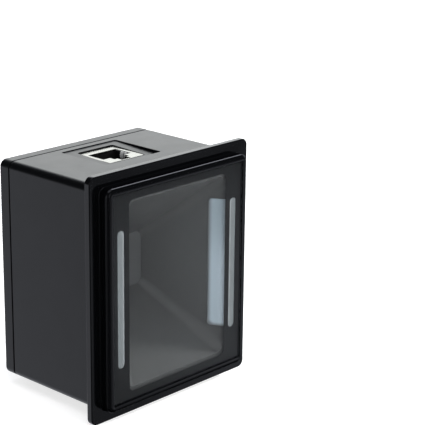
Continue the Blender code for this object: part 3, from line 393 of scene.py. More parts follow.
END_ANGLE = math.atan2(FUNNEL_FRONT_HALF[1] - CAMERA_OPENING_HALF[1], FUNNEL_DEPTH)
FUNNEL_THICK = (BAFFLE_WALL / math.cos(SIDE_ANGLE), BAFFLE_WALL / math.cos(END_ANGLE))
DIFFUSER_HALF_HEIGHT = half_size("diffuser_right")[1]
DIFFUSER_LENGTH = DIFFUSER_REACH / math.cos(SIDE_ANGLE)

JACK_HALF = ((JACK_HIGH.x - JACK_LOW.x) / 2, (JACK_HIGH.y - JACK_LOW.y) / 2)
JACK_MID_Y = (JACK_LOW.y + JACK_HIGH.y) / 2
POCKET_HALF = inset(JACK_HALF, -POCKET_MARGIN_X, -POCKET_MARGIN_Y)

PILLAR_X = INNER_HALF[0] - PILLAR_INSET
PILLAR_Z = INNER_HALF[1] - PILLAR_INSET
CORNERS = [(side, end) for side in (-1, 1) for end in (-1, 1)]
PILLARS = [(side * PILLAR_X, MID_Z + end * PILLAR_Z) for side, end in CORNERS]


def starting_with(*words):
    """Names of the CAD nodes that start with one of some words."""
    return [name for name in NODES if name.startswith(words)]


def middle_of(node):
    """Middle of a CAD node seen from the front, as (x, z)."""
    low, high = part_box(node)
    return ((low.x + high.x) / 2, (low.z + high.z) / 2)


def new_object(name, data):
    """New object of some data, in the scene."""
    piece = bpy.data.objects.new(name, data)
    bpy.context.scene.collection.objects.link(piece)
    return piece


def add_camera():
    """Camera at the photograph's viewing angle."""
    roll = Matrix.Rotation(CAMERA_ROLL, 3, "Y")
    pitch = Matrix.Rotation(CAMERA_PITCH, 3, "X")
    yaw = Matrix.Rotation(CAMERA_YAW, 3, "Z")
    turn = roll @ pitch @ yaw
    data = bpy.data.cameras.new("camera")
    data.sensor_width = SENSOR_WIDTH
    data.lens = FOCAL_PIXELS / PHOTO_WIDTH * SENSOR_WIDTH
    data.clip_start = CLIP_START
    camera = new_object("camera", data)
    axes = Matrix((turn[0], turn[2], -turn[1])).transposed()
    camera.matrix_world = Matrix.Translation(CAMERA_PLACE) @ axes.to_4x4()
    bpy.context.scene.camera = camera


def add_floor():
    """Plain pale floor under the object."""
    mesh = bpy.data.meshes.new("floor")
    half = FLOOR_SIZE / 2
    corners = [(-half, -half, 0), (half, -half, 0), (half, half, 0), (-half, half, 0)]
    mesh.from_pydata(corners, [], [(0, 1, 2, 3)])
    floor = new_object("floor", mesh)
    material, tree, output = new_material("floor_pale")
    matt = add_node(tree, "ShaderNodeBsdfDiffuse", Color=(*FLOOR_COLOR, 1.0))
    glow = add_node(tree, "ShaderNodeEmission", Strength=FLOOR_GLOW)
    both = tree.nodes.new("ShaderNodeAddShader")
    tree.links.new(matt.outputs[0], both.inputs[0])
    tree.links.new(glow.outputs[0], both.inputs[1])
    tree.links.new(both.outputs[0], output.inputs["Surface"])
    mesh.materials.append(material)
    floor.visible_glossy = False


def add_backdrop():
    """Plain white dome behind everything, which lights nothing and doesn't show in the gloss."""
    bm = bmesh.new()
    bmesh.ops.create_uvsphere(bm, u_segments=ROUND_STEPS, v_segments=ROUND_STEPS // 2, radius=FLOOR_SIZE / 2)
    mesh = bpy.data.meshes.new("backdrop")
    bm.to_mesh(mesh)
    bm.free()
    material, tree, output = new_material("backdrop_white")
    glow = add_node(tree, "ShaderNodeEmission", Strength=1.0)
    tree.links.new(glow.outputs[0], output.inputs["Surface"])
    mesh.materials.append(material)
    backdrop = new_object("backdrop", mesh)
    backdrop.visible_glossy = False
    backdrop.visible_diffuse = False
    backdrop.visible_shadow = False


def add_lamps():
    """Soft round lamps that light surfaces without showing in their gloss."""
    for name, (place, size, power) in LAMPS.items():
        data = bpy.data.lights.new(name, "AREA")
        data.shape = "DISK"
        data.size = size
        data.energy = power
        lamp = new_object(name, data)
        lamp.location = place
        aim = Vector((0.0, 0.0, MID_Z)) - Vector(place)
        lamp.rotation_euler = aim.to_track_quat("-Z", "Y").to_euler()
        lamp.visible_glossy = False


def card(tree, direction, towards, edge, strength):
    """Light of a soft round card in the surroundings."""
    dot = tree.nodes.new("ShaderNodeVectorMath")
    dot.operation = "DOT_PRODUCT"
    dot.inputs[1].default_value = Vector(towards).normalized()
    tree.links.new(direction, dot.inputs[0])
    return calculate(tree, "MULTIPLY", ramp(tree, dot.outputs["Value"], *edge), strength)


def sweep_share(tree, away, up, right):
    """Share of the white sweep in a direction. Its top is higher at the right."""
    lowered = calculate(tree, "SUBTRACT", up, calculate(tree, "MULTIPLY", right, SWEEP_RISE))
    below_top = ramp(tree, lowered, *SWEEP_TOP, falling=True)
    return calculate(tree, "MULTIPLY", ramp(tree, away, *SWEEP_FRONT), below_top)


def room_light(tree, across, up):
    """Light where the sweep is open: the room's own glow, and the table low down at the right."""
    down = calculate(tree, "MULTIPLY", up, -1.0)
    beside = ramp(tree, across, *TABLE_SIDE)
    table = calculate(tree, "MULTIPLY", beside, ramp(tree, down, *TABLE_DEPTH))
    glow = calculate(tree, "ADD", calculate(tree, "MULTIPLY", table, TABLE_STRENGTH), DARK_STRENGTH)
    return calculate(tree, "MULTIPLY", glow, ramp(tree, down, *TABLE_END, falling=True))


def add_world():
    """Surroundings by direction: sweep, cards and table, and dark elsewhere."""
    world = bpy.data.worlds.new("studio")
    world.use_nodes = True
    tree = world.node_tree
    tree.nodes.clear()
    output = tree.nodes.new("ShaderNodeOutputWorld")
    direction = tree.nodes.new("ShaderNodeTexCoord").outputs["Generated"]
    across, away, up = parts(tree, direction)
    right = ramp(tree, across, *SWEEP_SIDE)
    sweep = sweep_share(tree, away, up, right)
    bright = scaled(tree, right, SWEEP_LEFT_STRENGTH, SWEEP_RIGHT_STRENGTH)
    open_share = calculate(tree, "SUBTRACT", 1.0, sweep)
    room = calculate(tree, "MULTIPLY", room_light(tree, across, up), open_share)
    glow = calculate(tree, "ADD", calculate(tree, "MULTIPLY", sweep, bright), room)
    for towards, edge, strength in CARDS.values():
        glow = calculate(tree, "ADD", glow, card(tree, direction, towards, edge, strength))
    sweep_hue = mix_colors(tree, right, SWEEP_LEFT_COLOR, SWEEP_RIGHT_COLOR)
    hue = mix_colors(tree, sweep, DARK_COLOR, sweep_hue)
    background = add_node(tree, "ShaderNodeBackground", Color=hue, Strength=glow)
    tree.links.new(background.outputs[0], output.inputs["Surface"])
    bpy.context.scene.world = world


def new_material(name):
    """Empty node material, with its tree and output node."""
    material = bpy.data.materials.new(name)
    material.use_nodes = True
    tree = material.node_tree
    tree.nodes.clear()
    output = tree.nodes.new("ShaderNodeOutputMaterial")
    return material, tree, output


def connect(tree, value, socket):
    """Link a socket to another one, or set it to a plain value."""
    if isinstance(value, bpy.types.NodeSocket):
        tree.links.new(value, socket)
    else:
        socket.default_value = value


def add_node(tree, kind, **inputs):
    """Node of a kind with some of its inputs set or linked by name."""
    node = tree.nodes.new(kind)
    for key, value in inputs.items():
        connect(tree, value, node.inputs[key.replace("_", " ")])
    return node


def calculate(tree, operation, *values):
    """Output of a math node on values, each a socket or a number."""
    node = tree.nodes.new("ShaderNodeMath")
    node.operation = operation
    for socket, value in zip(node.inputs, values):
        connect(tree, value, socket)
    return node.outputs[0]


def ramp(tree, value, start, end, falling=False):
    """A value's soft rise from 0 to 1 between two limits, or its fall from 1 to 0."""
    node = add_node(tree, "ShaderNodeMapRange", Value=value, From_Min=start, From_Max=end)
    node.interpolation_type = "SMOOTHSTEP"
    node.inputs["To Min"].default_value = float(falling)
    node.inputs["To Max"].default_value = float(not falling)
    return node.outputs["Result"]


def scaled(tree, value, low, high):
    """A 0 to 1 value laid out between two numbers."""
    return add_node(tree, "ShaderNodeMapRange", Value=value, To_Min=low, To_Max=high).outputs["Result"]


def mix_colors(tree, share, first, second):
    """Blend of two colours by a socket, each a colour or a socket."""
    node = tree.nodes.new("ShaderNodeMix")
    node.data_type = "RGBA"
    tree.links.new(share, node.inputs[0])
    for slot, value in ((MIX_FIRST, first), (MIX_SECOND, second)):
        connect(tree, (*value, 1.0) if isinstance(value, tuple) else value, node.inputs[slot])
    return node.outputs[MIX_RESULT]


def parts(tree, vector):
    """The three parts of a vector, as sockets."""
    return add_node(tree, "ShaderNodeSeparateXYZ", Vector=vector).outputs


def object_place(tree):
    """Place on the object, in metres in its own frame."""
    return tree.nodes.new("ShaderNodeTexCoord").outputs["Object"]


def stretched(tree, place, stretch):
    """A place stretched along the axes, for grain that runs one way."""
    return add_node(tree, "ShaderNodeMapping", Vector=place, Scale=stretch).outputs[0]


def noise(tree, place, scale, detail, roughness=NOISE_ROUGHNESS):
    """Noise value at a place."""
    look = {"Scale": scale, "Detail": detail, "Roughness": roughness}
    return add_node(tree, "ShaderNodeTexNoise", Vector=place, **look).outputs["Fac"]


def bump(tree, height, depth, strength=1.0, under=None):
    """Normal of a surface raised by a height, over another normal."""
    node = add_node(tree, "ShaderNodeBump", Height=height, Strength=strength, Distance=depth)
    if under is not None:
        tree.links.new(under, node.inputs["Normal"])
    return node.outputs["Normal"]


def shades(color, change):
    """A darker and a lighter version of a colour."""
    return tuple(c * (1 - change) for c in color), tuple(min(c * (1 + change), 1.0) for c in color)


def finish(name, pattern=None):
    """Principled surface by its row, with soft patches of colour and gloss and a fine grain.

    A pattern is a function of the tree, the place and the colour so far. It returns a new colour, a
    height, and how deep the height goes in metres, which is 0 where the pattern is only colour.
    """
    color, roughness, changes = FINISHES[name][:3]
    look = {**USUAL_FINISH, **changes}
    material, tree, output = new_material(name)
    place = object_place(tree)
    along = stretched(tree, place, look["stretch"])
    patches = noise(tree, along, look["patch_scale"], PATCH_DETAIL)
    paint_color = mix_colors(tree, patches, *shades(color, look["patch_change"]))
    streak_scale = look["patch_scale"] * STREAK_SCALE
    streaks = noise(tree, along, streak_scale, STREAK_DETAIL, STREAK_ROUGHNESS)
    smoothest = max(roughness - look["gloss_change"], 0.0)
    gloss = scaled(tree, streaks, smoothest, roughness + look["gloss_change"])
    normal = None
    if pattern:
        paint_color, height, depth = pattern(tree, place, paint_color)
        if depth:
            normal = bump(tree, height, depth)
    grain = noise(tree, along, look["grain_scale"], GRAIN_DETAIL)
    normal = bump(tree, grain, look["grain_depth"], look["grain_strength"], normal)
    linked = {"Base_Color": paint_color, "Roughness": gloss, "Normal": normal}
    shader = add_node(tree, "ShaderNodeBsdfPrincipled", Metallic=look["metallic"], **linked)
    shader.inputs["Specular IOR Level"].default_value = look["specular"]
    tree.links.new(shader.outputs[0], output.inputs["Surface"])
    return material


def window_glass(name):
    """Clear pane: light passes straight through, with a mirror share by Fresnel on its outer faces."""
    material, tree, output = new_material(name)
    clear = add_node(tree, "ShaderNodeBsdfTransparent", Color=(*GLASS_TINT, 1.0))
    smudges = noise(tree, object_place(tree), SMUDGE_SCALE, STREAK_DETAIL, STREAK_ROUGHNESS)
    haze = scaled(tree, smudges, 0.0, SMUDGE_GLOSS)
    gloss = add_node(tree, "ShaderNodeBsdfGlossy", Color=(1.0, 1.0, 1.0, 1.0), Roughness=haze)
    fresnel = add_node(tree, "ShaderNodeFresnel", IOR=GLASS_IOR)
    backfacing = tree.nodes.new("ShaderNodeNewGeometry").outputs["Backfacing"]
    outer = calculate(tree, "SUBTRACT", 1.0, backfacing)
    share = calculate(tree, "MULTIPLY", fresnel.outputs[0], outer)
    mix = tree.nodes.new("ShaderNodeMixShader")
    tree.links.new(share, mix.inputs[0])
    tree.links.new(clear.outputs[0], mix.inputs[1])
    tree.links.new(gloss.outputs[0], mix.inputs[2])
    tree.links.new(mix.outputs[0], output.inputs["Surface"])
    return material


def board_tracks(tree, place, color):
    """Copper tracks under a circuit board's mask, with plated holes here and there."""
    flat = stretched(tree, place, (1.0, 0.0, 1.0))
    cells = add_node(tree, "ShaderNodeTexVoronoi", Vector=flat, Scale=TRACK_SCALE)
    cells.feature = "DISTANCE_TO_EDGE"
    track = ramp(tree, cells.outputs["Distance"], *TRACK_EDGE, falling=True)
    holes = add_node(tree, "ShaderNodeTexVoronoi", Vector=flat, Scale=HOLE_SCALE, Randomness=HOLE_SCATTER)
    away = holes.outputs["Distance"]
    pad = ramp(tree, away, *PAD_EDGE, falling=True)
    hole = ramp(tree, away, *HOLE_EDGE, falling=True)
    for share, shown in ((track, TRACK_COLOR), (pad, PAD_COLOR), (hole, HOLE_COLOR)):
        color = mix_colors(tree, share, color, shown)
    height = calculate(tree, "SUBTRACT", calculate(tree, "MAXIMUM", track, pad), hole)
    return color, height, TRACK_HEIGHT


def square_above_zero(tree, value):
    """Square of a value, or 0 where the value is negative."""
    value = calculate(tree, "MAXIMUM", value, 0.0)
    return calculate(tree, "MULTIPLY", value, value)


def panel_painted_light_and_shade(tree, place, color):
    """Milky panel with painted light in front, and painted shade round its lower end and back edge, and
    upward.
    """
    axes = parts(tree, place)
    above = calculate(tree, "SUBTRACT", axes[2], MID_Z)
    low = calculate(tree, "SUBTRACT", PANEL_ROUND - DIFFUSER_HALF_HEIGHT, above)
    back = calculate(tree, "SUBTRACT", axes[1], FUNNEL_Y + DIFFUSER_REACH - PANEL_ROUND)
    squares = calculate(tree, "ADD", square_above_zero(tree, low), square_above_zero(tree, back))
    end = ramp(tree, calculate(tree, "SQRT", squares), PANEL_ROUND - PANEL_FADE, PANEL_ROUND)
    front = ramp(tree, axes[1], FUNNEL_Y, FUNNEL_Y + PANEL_FRONT_FADE, falling=True)
    color = mix_colors(tree, front, color, PANEL_PAINTED_LIGHT_COLOR)
    color = mix_colors(tree, ramp(tree, above, *PANEL_RISE), color, PANEL_TOP_PAINTED_SHADE_COLOR)
    return mix_colors(tree, end, color, PANEL_END_PAINTED_SHADE_COLOR), None, 0.0


def bar_painted_highlight(tree, place, color):
    """Bar with a painted highlight, lighter in colour along the edge nearer to the window."""
    out = calculate(tree, "SUBTRACT", calculate(tree, "ABSOLUTE", parts(tree, place)[0]), BAR_X)
    edge = ramp(tree, out, -BAR_HALF[0], BAR_PAINTED_HIGHLIGHT_WIDTH - BAR_HALF[0], falling=True)
    return mix_colors(tree, edge, color, BAR_PAINTED_HIGHLIGHT_COLOR), None, 0.0


def rounded_rect(half, corner, steps=CORNER_STEPS):
    """Rounded rectangle about (0, 0), anticlockwise, as (u, v) points."""
    corner = max(corner, MIN_CORNER)
    points = []
    centres = ((1, -1), (1, 1), (-1, 1), (-1, -1))
    for index, (sign_u, sign_v) in enumerate(centres):
        centre_u = sign_u * (half[0] - corner)
        centre_v = sign_v * (half[1] - corner)
        for step in range(steps + 1):
            angle = math.radians(-90 + 90 * index + 90 * step / steps)
            points.append((centre_u + corner * math.cos(angle), centre_v + corner * math.sin(angle)))
    return points


def circle(radius):
    """Regular polygon about (0, 0) as (u, v) points."""
    turns = [2 * math.pi * step / ROUND_STEPS for step in range(ROUND_STEPS)]
    return [(radius * math.cos(turn), radius * math.sin(turn)) for turn in turns]


def ring_y(points, y, centre=None):
    """Lay (x, z) points in the plane at depth y, about a centre."""
    x, z = centre or (0.0, MID_Z)
    return [Vector((x + u, y, z + v)) for u, v in points]


def rect_ring(half, corner, y):
    """Rounded rectangle about the body's middle, at depth y."""
    return ring_y(rounded_rect(half, corner), y)


def arc_rings(half, corner, y, radius, start, end, steps=EDGE_STEPS):
    """Rings round an edge: a quarter round of a radius about the rectangle at depth y, in degrees.

    0 degrees points out of the rectangle and 90 degrees points back, along +Y.
    """
    rings = []
    for step in range(steps + 1):
        angle = math.radians(start + (end - start) * step / steps)
        out = radius * math.cos(angle)
        rings.append(rect_ring(inset(half, -out), corner + out, y + radius * math.sin(angle)))
    return rings


def outer_edge(half, corner, face_y, radius, front=True):
    """Rings over a rounded outer edge whose face lies at face_y, from front to back."""
    centre = inset(half, radius)
    if front:
        return arc_rings(centre, corner - radius, face_y + radius, radius, -90, 0)
    return arc_rings(centre, corner - radius, face_y - radius, radius, 0, 90)


def loft(rings, loop=False):
    """Skin rings of equal length. A loop joins the last ring to the first, else both ends get caps."""
    bm = bmesh.new()
    rows = [[bm.verts.new(point) for point in ring] for ring in rings]
    pairs = list(zip(rows, rows[1:]))
    if loop:
        pairs.append((rows[-1], rows[0]))
    else:
        bm.faces.new(rows[0])
        bm.faces.new(rows[-1])
    for row, other in pairs:
        for index in range(len(row)):
            following = (index + 1) % len(row)
            bm.faces.new((row[index], row[following], other[following], other[index]))
    bmesh.ops.recalc_face_normals(bm, faces=bm.faces)
    return bm


def solid(name, rings, loop=False):
    """Object skinned over rings."""
    mesh = bpy.data.meshes.new(name)
    bm = loft(rings, loop)
    bm.to_mesh(mesh)
    bm.free()
    return new_object(name, mesh)


def upright(points, z0, z1):
    """Tool with an outline in (x, y), from one height to another."""
    return solid("tool", [[Vector((x, y, z)) for x, y in points] for z in (z0, z1)])


def block(low, high):
    """Box between two corners, as a tool."""
    corners = [(low[0], low[1]), (high[0], low[1]), (high[0], high[1]), (low[0], high[1])]
    return upright(corners, low[2], high[2])


def turned(name, centre, profile, loop=False):
    """Solid turned about a Y axis from (radius, y) points."""
    return solid(name, [ring_y(circle(radius), y, centre) for radius, y in profile], loop)


def rod(centre, radius, y0, y1):
    """Round tool along Y."""
    return turned("tool", centre, [(radius, y0), (radius, y1)])


def combine(target, tool, operation):
    """Apply one exact Boolean to the target and remove the tool."""
    modifier = target.modifiers.new("cut", "BOOLEAN")
    modifier.operation = operation
    modifier.solver = "EXACT"
    modifier.object = tool
    bpy.context.view_layer.update()
    graph = bpy.context.evaluated_depsgraph_get()
    result = bpy.data.meshes.new_from_object(target.evaluated_get(graph))
    target.modifiers.clear()
    target.data = result
    bpy.data.objects.remove(tool, do_unlink=True)


def join(target, tool):
    """Join a tool to the target."""
    combine(target, tool, "UNION")


def cut(target, tool):
    """Cut a tool out of the target."""
    combine(target, tool, "DIFFERENCE")


def dress(piece, slot, materials, *replaced):
    """Smooth a new piece, give it its finish, and let it stand for CAD nodes on the one body."""
    mesh = piece.data
    for material in materials:
        mesh.materials.append(material)
    mesh.shade_smooth()
    mesh.set_sharp_from_angle(angle=math.radians(SMOOTH_ANGLE))
    normals = piece.modifiers.new("even_faces", "WEIGHTED_NORMAL")
    normals.keep_sharp = True
    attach(piece, "root")
    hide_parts(*replaced)
    return piece


def root_rings(half, corner, y, start, end):
    """Rings round the small fillet where a wall meets the flange."""
    root = inset(half, -ROOT_RADIUS)
    return arc_rings(root, corner + ROOT_RADIUS, y, ROOT_RADIUS, start, end, ROOT_STEPS)


def housing_rings():
    """Outlines from the recess for the glass round the flange and body to the ledge inside."""
    recess = inset(RECESS_HALF, -RECESS_EDGE)
    corner = GLASS_CORNER + RECESS_EDGE
    rings = arc_rings(recess, corner, FRONT_Y + RECESS_EDGE, RECESS_EDGE, 180, 270, RECESS_STEPS)
    rings += outer_edge(RIM_HALF, RIM_CORNER, FRONT_Y, RIM_EDGE)
    rings += root_rings(RIM_HALF, RIM_CORNER, FLANGE_Y - ROOT_RADIUS, 180, 90)
    rings += outer_edge(FLANGE_HALF, FLANGE_CORNER, FLANGE_Y, FLANGE_EDGE)
    rings += outer_edge(FLANGE_HALF, FLANGE_CORNER, FLANGE_BACK_Y, FLANGE_EDGE, front=False)
    rings += root_rings(BODY_HALF, BODY_CORNER, FLANGE_BACK_Y + ROOT_RADIUS, 270, 180)
    rings += outer_edge(BODY_HALF, BODY_CORNER, HOUSING_REAR_Y, SEAM_EDGE, front=False)
    inside = (
        (INNER_HALF, INNER_CORNER, HOUSING_REAR_Y),
        (INNER_HALF, INNER_CORNER, LEDGE_BACK_Y),
        (LEDGE_HALF, GLASS_CORNER, LEDGE_BACK_Y),
        (LEDGE_HALF, GLASS_CORNER, LEDGE_Y),
        (RECESS_HALF, GLASS_CORNER, LEDGE_Y),
    )
    return rings + [rect_ring(*row) for row in inside]


def build_housing(body_finish, front_finish):
    """Flange, rim, glass recess, ledge and body as one moulding, open at the back."""
    housing = solid("housing_shell", housing_rings(), loop=True)
    pillar_y = HOUSING_REAR_Y - PILLAR_LENGTH
    hole_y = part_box("cover_screw_1")[0].y - OVERLAP
    for place in PILLARS:
        join(housing, rod(place, PILLAR_RADIUS, pillar_y, HOUSING_REAR_Y))
    for place in PILLARS:
        cut(housing, rod(place, COVER_SHANK + FIT_GAP, hole_y, REAR_Y))
    add_snap_ribs(housing)
    cut_connector_pocket(housing)
    for polygon in housing.data.polygons:
        polygon.material_index = int(polygon.center.y < FLANGE_BACK_Y - OVERLAP)
    return dress(housing, "housing_black", [body_finish, front_finish], "housing")


def add_snap_ribs(housing):
    """Ribs on the side walls that hold the baffle's plate against the ledge."""
    y0 = PLATE_BACK_Y + FIT_GAP
    for side, end in CORNERS:
        z = MID_Z + end * SNAP_SPACING / 2
        xs = sorted((side * (INNER_HALF[0] - SNAP_REACH), side * (INNER_HALF[0] + OVERLAP)))
        rib = block((xs[0], y0, z - SNAP_LENGTH / 2), (xs[1], y0 + SNAP_DEPTH, z + SNAP_LENGTH / 2))
        join(housing, rib)


def pocket_floor(y):
    """Height of the connector pocket's floor at a depth."""
    share = (y - JACK_MID_Y + POCKET_HALF[1]) / (2 * POCKET_HALF[1])
    return BODY_TOP_Z - POCKET_FRONT_DEPTH - (POCKET_REAR_DEPTH - POCKET_FRONT_DEPTH) * share


def top_outline(half, corner, grow, steps=CORNER_STEPS):
    """Rounded rectangle about the connector's middle in (x, y), grown by an amount."""
    points = rounded_rect(inset(half, -grow), corner + grow, steps)
    return [(u, JACK_MID_Y + v) for u, v in points]


def cut_connector_pocket(housing):
    """Shallow pocket in the top face with soft edges, and the connector's hole in its floor."""
    rings = []
    for step in range(EDGE_STEPS + 1):
        angle = math.radians(-90 + 90 * step / EDGE_STEPS)
        rise = POCKET_FILLET * (1 + math.sin(angle))
        outline = top_outline(POCKET_HALF, POCKET_CORNER, POCKET_FILLET * (math.cos(angle) - 1))
        rings.append([Vector((x, y, pocket_floor(y) + rise)) for x, y in outline])
    for angle in QUARTER:
        z = BODY_TOP_Z - POCKET_LIP * (1 - math.sin(angle))
        outline = top_outline(POCKET_HALF, POCKET_CORNER, POCKET_LIP * (1 - math.cos(angle)))
        rings.append([Vector((x, y, z)) for x, y in outline])
    rings.append([Vector((point.x, point.y, BODY_TOP_Z + WALL)) for point in rings[-1]])
    cut(housing, solid("tool", rings))
    hole = top_outline(JACK_HALF, SHIELD_FOLD, FIT_GAP, EDGE_STEPS)
    cut(housing, upright(hole, JACK_HIGH.z - 2 * WALL, BODY_TOP_Z))


def build_rear_cover(material):
    """Shallow tray with screw posts, board bosses and tongues that reach into the housing."""
    rings = [rect_ring(INNER_HALF, INNER_CORNER, y) for y in (COVER_FLOOR_Y, COVER_FRONT_Y)]
    rings += outer_edge(BODY_HALF, BODY_CORNER, COVER_FRONT_Y, SEAM_EDGE)
    rings += outer_edge(BODY_HALF, BODY_CORNER, REAR_Y, COVER_EDGE, front=False)
    cover = solid("rear_cover_shell", rings)
    floor_y = COVER_FLOOR_Y + OVERLAP
    board_screws = [middle_of(node) for node in starting_with("board_screw")]
    boss_y = BOARD_HIGH.y + FIT_GAP
    for place in PILLARS:
        join(cover, rod(place, PILLAR_RADIUS, COVER_FRONT_Y, floor_y))
    for place in board_screws:
        join(cover, rod(place, BOSS_RADIUS, boss_y, floor_y))
    add_tongues(cover, floor_y)
    head_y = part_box("cover_screw_1")[1].y - COVER_HEAD_HEIGHT - FIT_GAP
    shaft = COVER_SHANK + FIT_GAP
    seat = COVER_HEAD + FIT_GAP
    profile = [(shaft, COVER_FRONT_Y - FIT_GAP), (shaft, head_y), (seat, head_y), (seat, REAR_Y - SEAT_EDGE)]
    profile += [(seat + SEAT_EDGE, REAR_Y), (seat + SEAT_EDGE, REAR_Y + FIT_GAP)]
    for place in PILLARS:
        cut(cover, turned("tool", place, profile))
    hole_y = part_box("board_screw_1")[1].y
    for place in board_screws:
        cut(cover, rod(place, BOARD_SHANK + FIT_GAP, boss_y - FIT_GAP, hole_y))
    return dress(cover, "cover_black", [material], "rear_cover")


def add_tongues(cover, floor_y):
    """Four straight tongues that close the seam from inside."""
    outer = inset(INNER_HALF, FIT_GAP)
    reach_x = PILLAR_X - PILLAR_RADIUS - FIT_GAP
    reach_z = PILLAR_Z - PILLAR_RADIUS - FIT_GAP
    y0 = HOUSING_REAR_Y - TONGUE_REACH
    for side in (-1, 1):
        xs = sorted((side * outer[0], side * (outer[0] - TONGUE_THICKNESS)))
        join(cover, block((xs[0], y0, MID_Z - reach_z), (xs[1], floor_y, MID_Z + reach_z)))
        zs = sorted((side * outer[1], side * (outer[1] - TONGUE_THICKNESS)))
        join(cover, block((-reach_x, y0, MID_Z + zs[0]), (reach_x, floor_y, MID_Z + zs[1])))


def build_window(glass, ink):
    """Glass pane with a polished edge, and the black print on its back."""
    rings = outer_edge(GLASS_HALF, GLASS_CORNER, GLASS_LOW.y, GLASS_EDGE)
    rings += outer_edge(GLASS_HALF, GLASS_CORNER, GLASS_HIGH.y, GLASS_EDGE, front=False)
    dress(solid("window_pane", rings), "clear_glass", [glass], "window_glass")
    half = inset(GLASS_HALF, GLASS_EDGE)
    window_print = solid("window_print", [rect_ring(half, GLASS_CORNER, y) for y in (PRINT_Y, PRINT_BACK_Y)])
    depths = (PRINT_Y - PRINT_THICKNESS, PRINT_BACK_Y + PRINT_THICKNESS)
    opening = solid("tool", [rect_ring(WINDOW_HALF, WINDOW_CORNER, y) for y in depths])
    cut(window_print, opening)
    for side in (-1, 1):
        slot = solid("tool", [bar_ring(side, 0.0, y) for y in depths])
        cut(window_print, slot)
    dress(window_print, "mask_black", [ink], "window_mask")


def bar_ring(side, grow, y):
    """Outline of one upright light bar, with round ends, grown by an amount."""
    half = inset(BAR_HALF, -grow)
    return ring_y([(side * BAR_X + u, v) for u, v in rounded_rect(half, half[0] - MIN_CORNER)], y)


def funnel_outside(y):
    """Half sizes of the funnel's outside at a depth."""
    share = (y - FUNNEL_Y) / FUNNEL_DEPTH
    inside = [a + (b - a) * share for a, b in zip(FUNNEL_FRONT_HALF, CAMERA_OPENING_HALF)]
    return tuple(half + thick for half, thick in zip(inside, FUNNEL_THICK))


def diffuser_solid(name, side, front, levels):
    """Panel in the funnel's side wall, with round back corners, over (growth, distance out) levels."""
    half_length = DIFFUSER_LENGTH / 2
    sin, cos = math.sin(SIDE_ANGLE), math.cos(SIDE_ANGLE)
    rings = []
    for grow, out in levels:
        half = (half_length + grow, DIFFUSER_HALF_HEIGHT + grow)
        points = [(half_length + u, v) for u, v in rounded_rect(half, DIFFUSER_CORNER) if u > 0]
        points += [(-front, half[1]), (-front, -half[1])]
        ring = []
        for along, v in points:
            x = FUNNEL_FRONT_HALF[0] - along * sin + out * cos
            y = FUNNEL_Y + along * cos + out * sin
            ring.append(Vector((side * x, y, MID_Z + v)))
        rings.append(ring)
    return solid(name, rings)


def baffle_rings():
    """Outlines from the funnel's inside round its camera end and the fixing plate to the collar."""
    flange_half = inset(funnel_outside(FUNNEL_NECK_Y), -FUNNEL_FLANGE)
    collar_half = inset(LEDGE_HALF, FIT_GAP)
    plate_half = inset(INNER_HALF, FIT_GAP)
    outlines = (
        (FUNNEL_FRONT_HALF, FUNNEL_FRONT_CORNER, FUNNEL_Y),
        (CAMERA_OPENING_HALF, FUNNEL_REAR_CORNER, FUNNEL_END_Y),
        (flange_half, FUNNEL_REAR_CORNER, FUNNEL_END_Y),
        (flange_half, FUNNEL_REAR_CORNER, FUNNEL_NECK_Y),
        (funnel_outside(FUNNEL_NECK_Y), FUNNEL_REAR_CORNER, FUNNEL_NECK_Y),
        (funnel_outside(PLATE_BACK_Y), FUNNEL_FRONT_CORNER, PLATE_BACK_Y),
        (plate_half, INNER_CORNER, PLATE_BACK_Y),
        (plate_half, INNER_CORNER, PLATE_Y),
        (collar_half, GLASS_CORNER, PLATE_Y),
        (collar_half, GLASS_CORNER, FUNNEL_Y),
    )
    return [rect_ring(*row) for row in outlines]


def build_baffle(material):
    """Four-sided funnel with a collar behind the window, a fixing plate and posts for the LED boards."""
    baffle = solid("baffle_shell", baffle_rings(), loop=True)
    post_start = BAR_HALF[1] + FIT_GAP + LED_POST_GAP
    for side, end in CORNERS:
        zs = sorted((end * post_start, end * (post_start + LED_POST_HEIGHT)))
        low = (side * BAR_X - LED_POST_WIDTH / 2, PLATE_BACK_Y - OVERLAP, MID_Z + zs[0])
        high = (side * BAR_X + LED_POST_WIDTH / 2, POST_END_Y, MID_Z + zs[1])
        join(baffle, block(low, high))
    slot_end = BAR_HIGH.y + FIT_GAP
    reach = BAFFLE_WALL + FUNNEL_RIB
    for side in (-1, 1):
        slot = solid("tool", [bar_ring(side, FIT_GAP, y) for y in (FUNNEL_Y - FIT_GAP, slot_end)])
        cut(baffle, slot)
        notch = diffuser_solid("tool", side, BAFFLE_WALL, [(DIFFUSER_GAP, -OVERLAP), (DIFFUSER_GAP, reach)])
        cut(baffle, notch)
    return dress(baffle, "baffle_grey", [material], "optical_baffle")


def soft_edge(radius):
    """Levels over a rounded edge, as (growth, distance from the face)."""
    return [(radius * (math.sin(angle) - 1), radius * (1 - math.cos(angle))) for angle in QUARTER]


